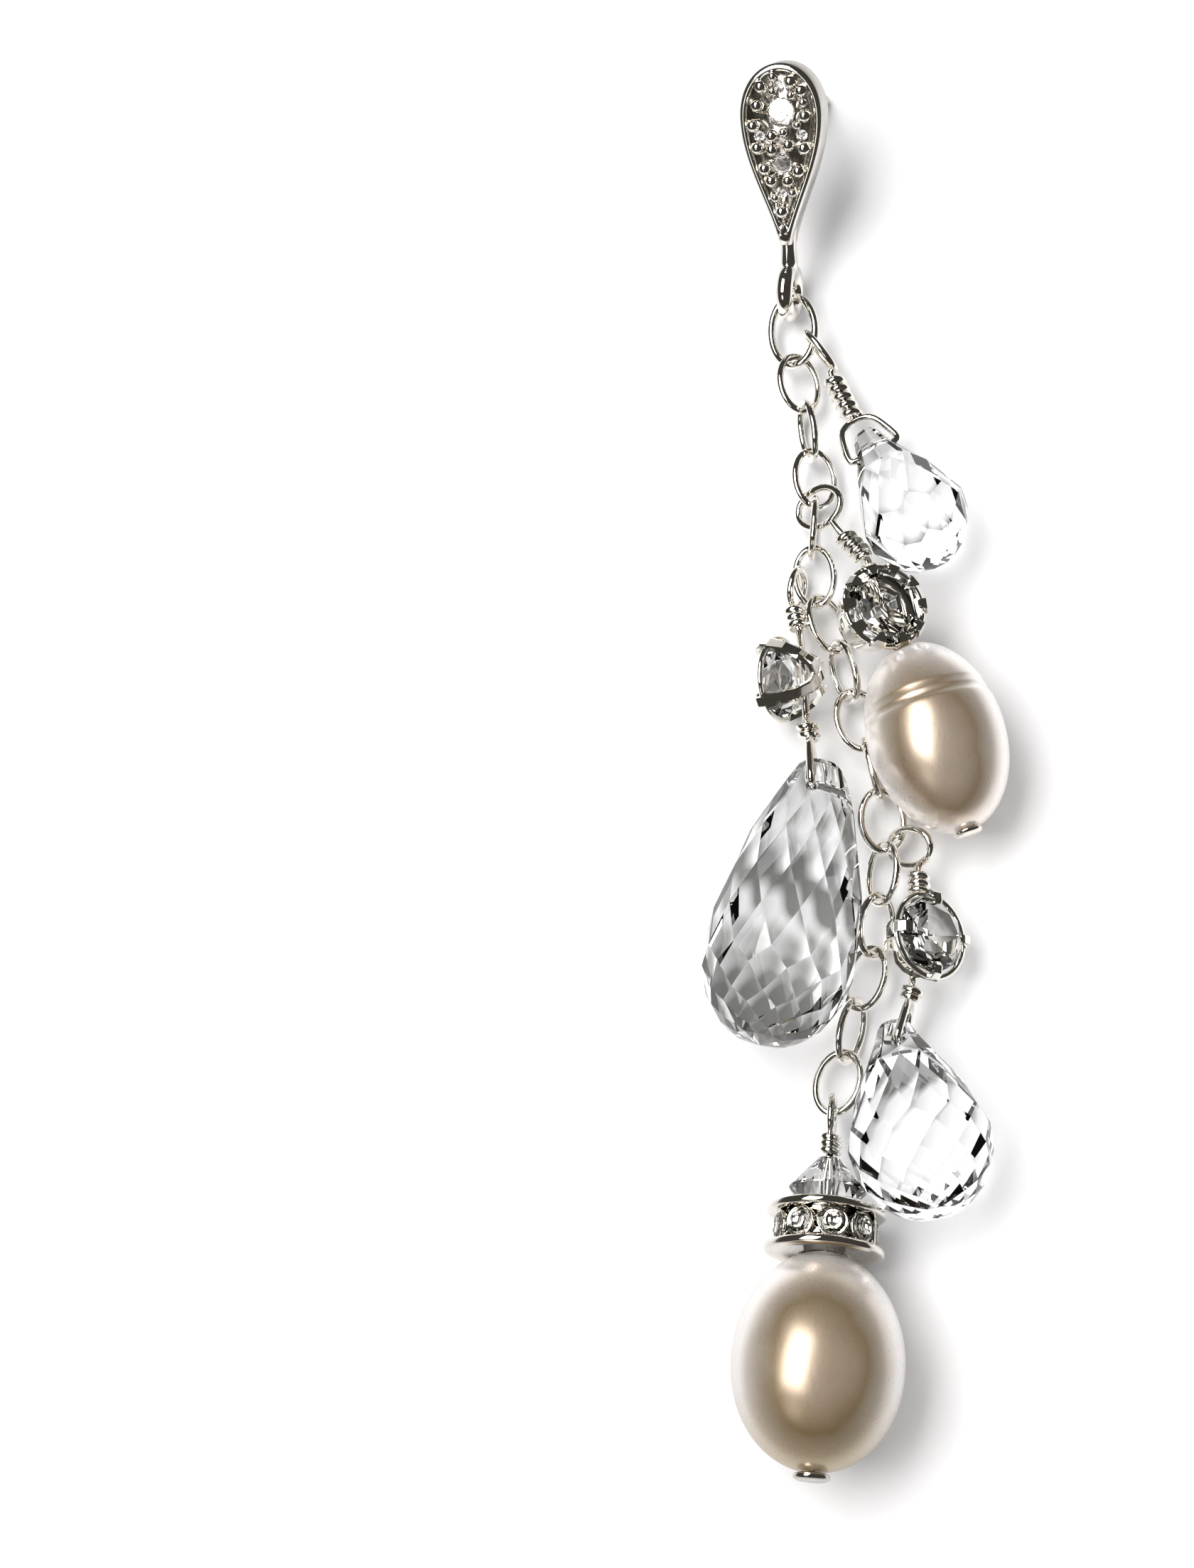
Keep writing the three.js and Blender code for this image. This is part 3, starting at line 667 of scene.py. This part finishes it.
def node_frame(name):
    """Middle, length and facing directions of a flat ring node, in the CAD model's millimetres."""
    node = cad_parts[name]
    spots = np.array([tuple(v.co) for v in node.data.vertices])
    spots = np.unique(spots.round(7), axis=0)
    middle = (spots.min(axis=0) + spots.max(axis=0)) / 2
    axes = np.linalg.svd(spots - spots.mean(axis=0), full_matrices=False)[2]
    return TO_ROW.inverted() @ Vector(middle), Vector(axes[0]), Vector(axes[2])


def build_chain():
    names = [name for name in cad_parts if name.startswith("chain_link_")]
    link = oval_ring(LINK["length"], LINK["width"], LINK["wire"])
    places = [(placement(*node_frame(name)), 1.0) for name in sorted(names)]
    finish_piece("oval_links", copies(link, places, SILVER), [SILVER], "silver", *names)
    ring = moved(oval_ring(4.47, 3.21, 0.22), placement(*node_frame("top_ring")))
    finish_piece("jump_ring", ring, [SILVER], "silver", "top_ring")


def nearest_on(loop, target):
    place, along, front, length, width = loop
    turn = placement(place, along, front)
    spots = [turn @ spot for spot in oval_points(length - 2 * WIRE, width - 2 * WIRE, 60)]
    return min(spots, key=lambda spot: (spot - target).length)


def loop_and_coils(unit):
    """The wrapped loop with its coils, as a list of meshes."""
    place, along, front, length, width = unit["loop"]
    parts = [moved(oval_ring(length, width), placement(place, along, front))]
    start, end, turns = unit["coils"][0]
    parts.append(wire(smooth_path([end, start, nearest_on(unit["loop"], start)], False)))
    for start, end, turns in unit["coils"]:
        parts.append(wrapped_coil(start, end, turns))
        parts.append(wire([start, end]))
    return parts


def bail(outlet, drop):
    down = drop["hole"] - outlet
    side = drop["across"].normalized()
    reach = drop["reach"]
    right = [(0.12, 0.62), (0.55, 0.92), (0.94, 1), (1, 0.5)]
    left = [(share, -out) for share, out in reversed(right)]
    points = [outlet + down * share + side * out * reach for share, out in [(0, 0)] + right + left]
    return wire(smooth_path(points, True, 6), closed=True)


def build_drop_wire(name):
    unit = UNITS[name]
    parts = loop_and_coils(unit)
    parts.append(bail(unit["coils"][-1][1], DROPS[name]))
    if name in CHATONS:
        parts.append(wire([unit["coils"][0][1], CHATONS[name]["through"], unit["coils"][1][0]]))
    finish_piece(name + "_wirework", merged("wirework", parts), [SILVER], "silver", name + "_drop_wire")


def build_side_wire():
    unit = UNITS["side"]
    along = SIDE_PEARL["along"].normalized()
    top = SIDE_PEARL["place"] + along * (SIDE_PEARL["length"] / 2 + 0.3)
    foot = SIDE_PEARL["place"] - along * (SIDE_PEARL["length"] / 2 + 0.12)
    parts = loop_and_coils(unit)
    parts.append(wire([unit["coils"][0][1], CHATONS["side"]["through"], top, foot]))
    head = lathe("head", [(0, -0.14), (0.62, -0.14), (0.75, -0.02), (0.75, 0.05), (0.66, 0.14), (0, 0.14)], 28)
    parts.append(moved(head, placement(foot, along, at(0, 0, 1))))
    finish_piece("side_wirework", merged("wirework", parts), [SILVER], "silver", "side_pearl_wire")


def faceted_stone():
    """A brilliant on local Y, open to light above its girdle and foiled below it."""
    sides = 8
    rows = [
        (0.0, 1.5, 0), (1.1, 1.95, 0), (2.05, 2.4, 0), (2.05, 2.5, 0), (1.82, 2.82, 1), (1.42, 3.03, 0), (0, 3.05, 0),
    ]
    vertices, faces, paint = [(0, rows[0][1], 0)], [], []
    for radius, height, turn in rows[1:-1]:
        for side in range(sides):
            angle = 2 * math.pi * (side + turn / 2) / sides
            vertices.append((radius * math.sin(angle), height, radius * math.cos(angle)))
    vertices.append((0, rows[-1][1], 0))
    for side in range(sides):
        faces.append((0, 1 + side, 1 + (side + 1) % sides))
        paint.append(1)
    for row in range(len(rows) - 3):
        low, high = 1 + row * sides, 1 + (row + 1) * sides
        for side in range(sides):
            after = (side + 1) % sides
            faces.append((low + side, low + after, high + after, high + side))
            paint.append(1 if row < 1 else 0)
    top = 1 + (len(rows) - 3) * sides
    for side in range(sides):
        faces.append((top + side, top + (side + 1) % sides, len(vertices) - 1))
        paint.append(0)
    mesh = mesh_of("stone", vertices, faces, smooth=False)
    mesh.polygons.foreach_set("material_index", paint)
    return outward(mesh)


def domed_stone():
    """A wide table on local Y over a foil raised to a low six-sided point."""
    sides = 6
    rows = [(2.05, 1.6), (2.05, 2.5), (1.8, 2.9), (1.7, 3.02)]
    vertices, faces, paint = [(0, 2.46, 0)], [], []
    for radius, height in rows:
        for side in range(sides):
            angle = 2 * math.pi * (side + 0.5) / sides
            vertices.append((radius * math.sin(angle), height, radius * math.cos(angle)))
    for side in range(sides):
        faces.append((0, 1 + side, 1 + (side + 1) % sides))
        paint.append(1)
    for row in range(len(rows) - 1):
        low, high = 1 + row * sides, 1 + (row + 1) * sides
        for side in range(sides):
            after = (side + 1) % sides
            faces.append((low + side, low + after, high + after, high + side))
            paint.append(0)
    top = 1 + (len(rows) - 1) * sides
    faces.append(tuple(top + side for side in range(sides)))
    paint.append(0)
    mesh = mesh_of("stone", vertices, faces, smooth=False)
    mesh.polygons.foreach_set("material_index", paint)
    return outward(mesh)


def build_stone(name, mesh, front):
    chaton = CHATONS[name]
    up = chaton["faces"].normalized()
    foot = chaton["through"] - up * CHATON_WIRE_HEIGHT
    moved(mesh, placement(foot, up, front))
    finish_piece(name + "_brilliant", mesh, [CRYSTAL, FOIL], "chaton", name + "_stone")


def ring_places(count, start=0.0):
    return [(Matrix.Rotation(2 * math.pi * (index + start) / count, 4, "Y"), 1.0) for index in range(count)]


def build_setting(name, claws, turn=0.0):
    """A claw setting: an open one on four arms, or a crown of small serrated claws on a cup."""
    rim = [(2.08, 2.3), (2.28, 2.3), (2.34, 2.42), (2.3, 2.55), (2.1, 2.58), (2.04, 2.45)]
    parts = [outward(lathe("rim", rim, 48, closed=True))]
    if claws == 4:
        arm = strip("arm", [(0.25, 0.12), (0.95, 0.22), (1.5, 0.75), (1.95, 1.55), (2.2, 2.4)],
                    [0.9, 0.7, 0.62, 0.8, 1.05], 0.24)
        parts.append(copies(arm, ring_places(4, turn), SILVER))
        claw = strip("claw", [(2.2, 2.3), (2.24, 2.75), (2.08, 2.98), (1.72, 3.04), (1.6, 2.98)],
                     [0.66, 0.6, 0.55, 0.48, 0.36], 0.2)
        parts.append(copies(claw, ring_places(4, turn), SILVER))
        low = [(0, 0.0), (0.62, 0.02), (0.7, 0.14), (0.62, 0.26), (0, 0.28)]
        parts.append(outward(lathe("foot", low, 24)))
    else:
        cup = [
            (0.6, 0.0), (1.6, 0.0), (1.72, 0.12), (2.24, 2.3), (2.26, 2.55), (2.12, 2.55), (2.1, 2.3), (1.5, 0.2),
            (0.6, 0.2),
        ]
        parts.append(outward(lathe("cup", cup, 48, smooth=False, closed=True)))
        claw = strip("claw", [(2.2, 2.25), (2.26, 2.62), (2.12, 2.9), (1.84, 2.96), (1.74, 2.9)],
                     [0.85, 0.78, 0.62, 0.45, 0.3], 0.2)
        parts.append(copies(claw, ring_places(claws), SILVER))
    chaton = CHATONS[name]
    up = chaton["faces"].normalized()
    foot = chaton["through"] - up * CHATON_WIRE_HEIGHT
    whole = moved(merged("setting", parts), placement(foot, up, chaton["along"].cross(up)))
    finish_piece(name + "_claw_setting", whole, [SILVER], "silver", name + "_setting")


def pearl_mesh(width, length, fullness, creases):
    """A drilled egg on local Y; creases are (height, depth, half width) rings."""
    steps = 90
    bore = 0.3
    first = math.asin(bore / (width / 2))
    profile = [(0.0, length / 2 - 0.35), (bore - 0.02, length / 2 - 0.3)]
    for step in range(steps + 1):
        angle = first + (math.pi - 2 * first) * step / steps
        height = length / 2 * math.cos(angle)
        radius = width / 2 * math.sin(angle) * (1 - fullness * math.cos(angle))
        for middle, depth, half in creases:
            radius -= depth * math.exp(-(((height - middle) / half) ** 2))
        profile.append((radius, height))
    profile += [(bore - 0.02, 0.3 - length / 2), (0.0, 0.35 - length / 2)]
    return outward(lathe("pearl", profile, 72))


def build_pearls():
    creases = [(1.55, 0.1, 0.16), (1.98, 0.06, 0.12)]
    side = pearl_mesh(SIDE_PEARL["width"], SIDE_PEARL["length"], 0, creases)
    moved(side, placement(SIDE_PEARL["place"], SIDE_PEARL["along"], at(0, 0, 1)))
    finish_piece("rice_pearl", side, [PALE_PEARL], "pearl", "side_pearl")
    main = pearl_mesh(MAIN_PEARL["width"], MAIN_PEARL["length"], MAIN_PEARL["fullness"], [])
    moved(main, main_frame())
    finish_piece("oval_pearl", main, [PEARL], "pearl", "main_pearl")


def main_along():
    lean, dip = math.radians(MAIN["turn"]), math.radians(MAIN["dip"])
    return at(math.sin(lean) * math.cos(dip), math.cos(lean) * math.cos(dip), -math.sin(dip))


def main_frame():
    return placement(MAIN["place"], main_along(), at(0, 0, 1))


def build_rondelle():
    low, high, radius, rim = RONDELLE["low"], RONDELLE["high"], RONDELLE["radius"], RONDELLE["rim"]
    bore, core = RONDELLE["bore"], RONDELLE["core"]

    def plate(bottom):
        profile = [
            (bore, bottom), (radius - 0.14, bottom), (radius - 0.03, bottom + 0.06), (radius, bottom + 0.14),
            (radius, bottom + rim - 0.14), (radius - 0.03, bottom + rim - 0.06), (radius - 0.14, bottom + rim),
            (bore, bottom + rim),
        ]
        return outward(lathe("plate", profile, 64, closed=True))

    wall = [(bore, low + 0.1), (core, low + 0.1), (core, high - 0.1), (bore, high - 0.1)]
    parts = [plate(low), plate(high - rim), outward(lathe("wall", wall, 48, closed=True))]
    seat = [(0.0, 0.0), (0.83, 0.0), (0.86, 0.3), (0.8, 0.42), (0.74, 0.3), (0.0, 0.15)]
    seats = outward(lathe("seat", seat, 20))
    outside = [
        (turn @ Matrix.Translation((0, (low + high) / 2, core + 0.12)) @ Matrix.Rotation(math.radians(90), 4, "X"), 0.93)
        for turn, size in ring_places(9, 0.32)
    ]
    parts.append(copies(seats, outside, SILVER))
    whole = moved(merged("rondelle", parts), main_frame())
    finish_piece("rondelle_frame", whole, [SILVER], "silver", "rondelle")
    raised = [(seat_place @ Matrix.Translation((0, 0.18, 0)), 0.75) for seat_place, size in outside]
    stones = copies(small_brilliant(), raised, CRYSTAL)
    finish_piece("rondelle_stones", moved(stones, main_frame()), [CRYSTAL], "pave")


def small_brilliant():
    """A round stone of radius 1 on local Y with its table up."""
    sides = 10
    rows = [(0.45, -0.35, 0), (1.0, 0.0, 1), (1.0, 0.1, 1), (0.82, 0.32, 0), (0.55, 0.45, 1)]
    vertices, faces = [(0, -0.6, 0)], []
    for radius, height, turn in rows:
        for side in range(sides):
            angle = 2 * math.pi * (side + turn / 2) / sides
            vertices.append((radius * math.sin(angle), height, radius * math.cos(angle)))
    faces += [(0, 1 + side, 1 + (side + 1) % sides) for side in range(sides)]
    for row in range(len(rows) - 1):
        low, high = 1 + row * sides, 1 + (row + 1) * sides
        faces += [(low + s, low + (s + 1) % sides, high + (s + 1) % sides, high + s) for s in range(sides)]
    top = 1 + (len(rows) - 1) * sides
    faces.append(tuple(top + side for side in range(sides)))
    return outward(mesh_of("small_brilliant", vertices, faces, smooth=False))


def build_bicone():
    belt, half, radius, end = BICONE["belt"], BICONE["half"], BICONE["radius"], BICONE["end"]
    profile = [
        (0.3, belt - half), (end, belt - half), (radius, belt - 0.06), (radius, belt + 0.06), (end, belt + half),
        (0.3, belt + half),
    ]
    mesh = outward(lathe("bicone", profile, 18, smooth=False, closed=True))
    finish_piece("faceted_bicone", moved(mesh, main_frame()), [CRYSTAL], "crystal", "crystal_bicone")


def build_main_pin():
    low, high, turns = MAIN["coil"]
    middle, length, width = MAIN["loop"]
    radius, head_low, head_high = MAIN["head"]
    sideways = Matrix.Translation((0, middle, 0)) @ Matrix.Rotation(math.radians(90), 4, "Y")
    loop = moved(oval_ring(length, width), sideways)
    head = [
        (0, head_low), (radius - 0.12, head_low), (radius, head_low + 0.1), (radius, head_high - 0.06),
        (radius - 0.08, head_high), (0, head_high),
    ]
    parts = [
        loop,
        outward(lathe("head", head, 32)),
        wire([at(0, head_low + 0.1, 0), at(0, middle - length / 2 + 0.2, 0)]),
        wrapped_coil(at(0, low, 0), at(0, high, 0), turns, 0.21),
    ]
    whole = moved(merged("pin", parts), main_frame())
    finish_piece("main_wirework", whole, [SILVER], "silver", "main_headpin")


# ---- the stud ----
def bezier(a, b, c, d, steps):
    spots = []
    for step in range(steps):
        t = step / steps
        s = 1 - t
        spots.append(a * s**3 + 3 * b * s * s * t + 3 * c * s * t * t + d * t**3)
    return spots


def teardrop(steps=22):
    """The outline of the stud, as flat points with the tip at the bottom."""
    half, top = STUD["width"] / 2, STUD["length"]
    widest = 0.7 * top

    def flat(x, y):
        return Vector((x, y))

    right = bezier(flat(0.3, -0.2), flat(0.75, 1.9), flat(half, 4.2), flat(half, widest), steps)
    right += bezier(flat(half, widest), flat(half, 0.88 * top), flat(0.55 * half, top), flat(0, top), steps)
    left = [flat(-spot.x, spot.y) for spot in reversed(right[1:])]
    return right + [flat(0, top)] + left + [flat(-0.3, -0.2)]


def inset(outline, distance):
    count = len(outline)
    spots = []
    for index, spot in enumerate(outline):
        run = (outline[(index + 1) % count] - outline[index - 1]).normalized()
        inner = spot + Vector((-run.y, run.x)) * distance
        spots.append(Vector((inner.x, inner.y)))
    # The two sides of the point may not cross the middle line.
    kept = []
    for inner, outer in zip(spots, outline):
        x = inner.x
        if outer.x > 0.05:
            x = max(0.02, x)
        elif outer.x < -0.05:
            x = min(-0.02, x)
        kept.append(Vector((x, max(inner.y, -0.2 + 3.0 * distance))))
    return kept


def stud_frame():
    pitch, roll = math.radians(STUD["pitch"]), math.radians(STUD["roll"])
    along = at(0, math.cos(pitch), math.sin(pitch))
    front = at(-math.sin(roll), -math.sin(pitch) * math.cos(roll), math.cos(pitch) * math.cos(roll))
    loop_height = STUD_LOOP["radius"] + STUD_LOOP["wire"]
    place = STUD["tip"].copy()
    place.z = loop_height + STUD_LOOP["drop"] * along.z
    foot = POST["radius"] * math.sqrt(1 - front.z**2)
    height = loop_height + (STUD_LOOP["drop"] + POST["up"]) * along.z
    return placement(place, along, front), (height - foot) / front.z - POST["start"] - 0.01


def plate_mesh(outline):
    """The rimmed plate: back, wall, rounded rim and the inner wall down to its floor."""
    half = STUD["depth"] / 2
    rows = [
        (0.14, -half), (0.04, -half + 0.05), (0.0, -half + 0.16), (0.0, half - 0.26), (0.05, half - 0.11),
        (0.14, half - 0.04), (0.26, half - 0.03), (0.36, half - 0.07), (0.4, half - 0.16), (0.42, half - 0.5),
    ]
    vertices, faces = [], []
    count = len(outline)
    for distance, height in rows:
        vertices += [(spot.x, spot.y, height) for spot in inset(outline, distance)]
    for row in range(len(rows) - 1):
        low, high = row * count, (row + 1) * count
        faces += [(low + s, low + (s + 1) % count, high + (s + 1) % count, high + s) for s in range(count)]
    faces.append(tuple(reversed(range(count))))
    faces.append(tuple(range((len(rows) - 1) * count, len(rows) * count)))
    mesh = outward(mesh_of("plate", vertices, faces))
    mesh.set_sharp_from_angle(angle=math.radians(50))
    return mesh


def inside(outline, x, y):
    hits = False
    for a, b in zip(outline, outline[1:] + outline[:1]):
        if (a.y > y) != (b.y > y) and x < (b.x - a.x) * (y - a.y) / (b.y - a.y) + a.x:
            hits = not hits
    return hits


# Stones of the field: across, along from the tip, radius.
PAVE_STONES = [
    (0.05, 6.95, 0.8), (0.0, 4.15, 0.6), (1.2, 5.7, 0.3), (-1.2, 5.7, 0.3), (0.0, 8.35, 0.26), (0.0, 2.6, 0.24),
]


def pave_beads(outline):
    """Bead places between the stones, the larger ones first, with a fixed seed."""
    draw = random.Random(7)
    kept = [(x, y, radius) for x, y, radius in PAVE_STONES]
    beads = []
    for radius, tries in ((0.38, 1400), (0.27, 1400)):
        for attempt in range(tries):
            x, y = draw.uniform(-1.9, 1.9), draw.uniform(1.2, 9.1)
            room = all(math.hypot(x - a, y - b) > radius * 0.86 + c for a, b, c in kept)
            if room and inside(outline, x, y) and edge_gap(outline, x, y) > radius * 0.8:
                kept.append((x, y, radius))
                beads.append((x, y, radius))
    return beads


def edge_gap(outline, x, y):
    return min(math.hypot(spot.x - x, spot.y - y) for spot in outline)


def build_stud():
    frame_of_stud, post_length = stud_frame()
    outline = teardrop()
    half = STUD["depth"] / 2
    top = STUD_LOOP["radius"] - STUD_LOOP["drop"]
    neck = [(0.52, top + 0.05), (0.47, top + 0.5), (0.42, -0.5), (0.46, 0.1), (0.55, 0.7), (0.5, 1.1)]
    neck = [(0, neck[0][1])] + neck + [(0, neck[-1][1])]
    ring = [at(0, STUD_LOOP["radius"] * math.cos(a), STUD_LOOP["radius"] * math.sin(a))
            for a in (2 * math.pi * step / 40 for step in range(40))]
    loop = moved(wire(ring, closed=True, radius=STUD_LOOP["wire"]), Matrix.Translation((0, -STUD_LOOP["drop"], 0)))
    radius = POST["radius"]
    rod = [
        (0, 0), (radius, 0), (radius, post_length - 0.75), (radius - 0.1, post_length - 0.66),
        (radius - 0.1, post_length - 0.5), (radius, post_length - 0.4), (radius, post_length - 0.05), (0, post_length),
    ]
    post = moved(outward(lathe("post", rod, 24)),
                 Matrix.Translation((0, POST["up"], -POST["start"])) @ Matrix.Rotation(math.radians(-90), 4, "X"))
    parts = [plate_mesh(outline), outward(lathe("neck", neck, 24)), loop, post]
    whole = moved(merged("stud", parts), frame_of_stud)
    finish_piece("teardrop_stud", whole, [SILVER], "silver", "ear_stud")
    build_field(outline, half, frame_of_stud)


def build_field(outline, half, frame_of_stud):
    """The sunk floor, its beads and its stones."""
    edge = inset(outline, 0.43)
    vertices = [(spot.x, spot.y, half - 0.42) for spot in edge]
    vertices += [(spot.x, spot.y, half - 0.24) for spot in inset(outline, 0.46)]
    count = len(edge)
    faces = [(s, (s + 1) % count, count + (s + 1) % count, count + s) for s in range(count)]
    faces += [tuple(reversed(range(count))), tuple(range(count, 2 * count))]
    floor = outward(mesh_of("floor", vertices, faces))
    finish_piece("pave_floor", moved(floor, frame_of_stud), [SHADED_SILVER], "silver", "pave_field")
    upright = Matrix.Rotation(math.radians(90), 4, "X")
    bead = outward(lathe("bead", [(0, 1.0), (0.5, 0.87), (0.87, 0.5), (1.0, 0.0), (0.95, -0.6), (0, -0.6)], 12))
    places = [(Matrix.Translation((x, y, half - 0.17 + 0.2 * r)) @ upright, r) for x, y, r in pave_beads(edge)]
    finish_piece("pave_beads", moved(copies(bead, places, SILVER), frame_of_stud), [SILVER], "silver")
    places = [(Matrix.Translation((x, y, half - 0.12)) @ upright, r) for x, y, r in PAVE_STONES]
    stones = copies(small_brilliant(), places, CRYSTAL)
    finish_piece("pave_stones", moved(stones, frame_of_stud), [CRYSTAL], "pave")


# ---- camera, floor and light ----
def aim(thing, place, target):
    thing.location = place
    thing.rotation_euler = (target - place).to_track_quat("-Z", "Y").to_euler()


def build_camera():
    pitch, yaw = math.radians(CAMERA["pitch"]), math.radians(CAMERA["yaw"])
    ahead = at(0, math.sin(pitch), -math.cos(pitch))
    forward = ahead * math.cos(yaw) - at(1, 0, 0) * math.sin(yaw)
    right = at(1, 0, 0) * math.cos(yaw) + ahead * math.sin(yaw)
    up = right.cross(forward)
    data = bpy.data.cameras.new("camera")
    data.sensor_fit = "VERTICAL"
    data.sensor_height = CAMERA["sensor"]
    data.lens = CAMERA["lens"]
    data.clip_start = 0.01
    camera = bpy.data.objects.new("camera", data)
    bpy.context.scene.collection.objects.link(camera)
    turn = Matrix((right, up, -forward)).transposed().to_4x4()
    camera.matrix_world = Matrix.Translation(TO_ROW @ CAMERA["place"]) @ turn
    bpy.context.scene.camera = camera


def area_light(name, place, target, size, power, colour, mirrored):
    data = bpy.data.lights.new(name, "AREA")
    data.shape = "RECTANGLE"
    data.size, data.size_y = size
    data.energy = power
    data.color = colour
    light = bpy.data.objects.new(name, data)
    light.visible_glossy = mirrored
    bpy.context.scene.collection.objects.link(light)
    aim(light, place, target)


def build_stage():
    corners, cells, side = [], PAPER_SHEET["cells"], PAPER_SHEET["side"]
    for row in range(cells + 1):
        for column in range(cells + 1):
            corners.append((side * (column / cells - 0.5), side * (row / cells - 0.5), -PAPER_SHEET["drop"]))
    wide = cells + 1
    faces = [(r * wide + c, r * wide + c + 1, (r + 1) * wide + c + 1, (r + 1) * wide + c)
             for r in range(cells) for c in range(cells)]
    floor = bpy.data.objects.new("paper_floor", mesh_of("paper_floor", corners, faces))
    floor.data.materials.append(PAPER)
    bpy.context.scene.collection.objects.link(floor)
    for row in LIGHTS:
        area_light(*row)
    world = bpy.data.worlds.new("studio")
    world.use_nodes = True
    nodes, link = world.node_tree.nodes, world.node_tree.links.new
    path = nodes.new("ShaderNodeLightPath")
    tone = nodes.new("ShaderNodeMix")
    tone.data_type = "RGBA"
    tone.inputs["A"].default_value = (0.05, 0.047, 0.042, 1)
    tone.inputs["B"].default_value = (0.8, 0.8, 0.81, 1)
    link(path.outputs["Is Camera Ray"], tone.inputs["Factor"])
    link(tone.outputs["Result"], nodes["Background"].inputs["Color"])
    bpy.context.scene.world = world
    bpy.context.scene.view_settings.view_transform = "Standard"


build_camera()
build_stage()
build_stud()
build_chain()
for unit_name in ("small", "long", "round"):
    build_drop_wire(unit_name)
build_side_wire()
build_setting("side", 10)
build_setting("long", 4, 0.5)
build_setting("round", 4)
build_stone("side", domed_stone(), at(-1, -0.3, 0.5))
build_stone("long", faceted_stone(), at(0, 0, 1))
build_stone("round", faceted_stone(), at(0, 0, 1))
build_pearls()
build_rondelle()
build_bicone()
build_main_pin()
for crystal_name in ("small_drop", "long_drop", "round_drop"):
    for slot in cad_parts[crystal_name].material_slots:
        slot.material = CRYSTAL
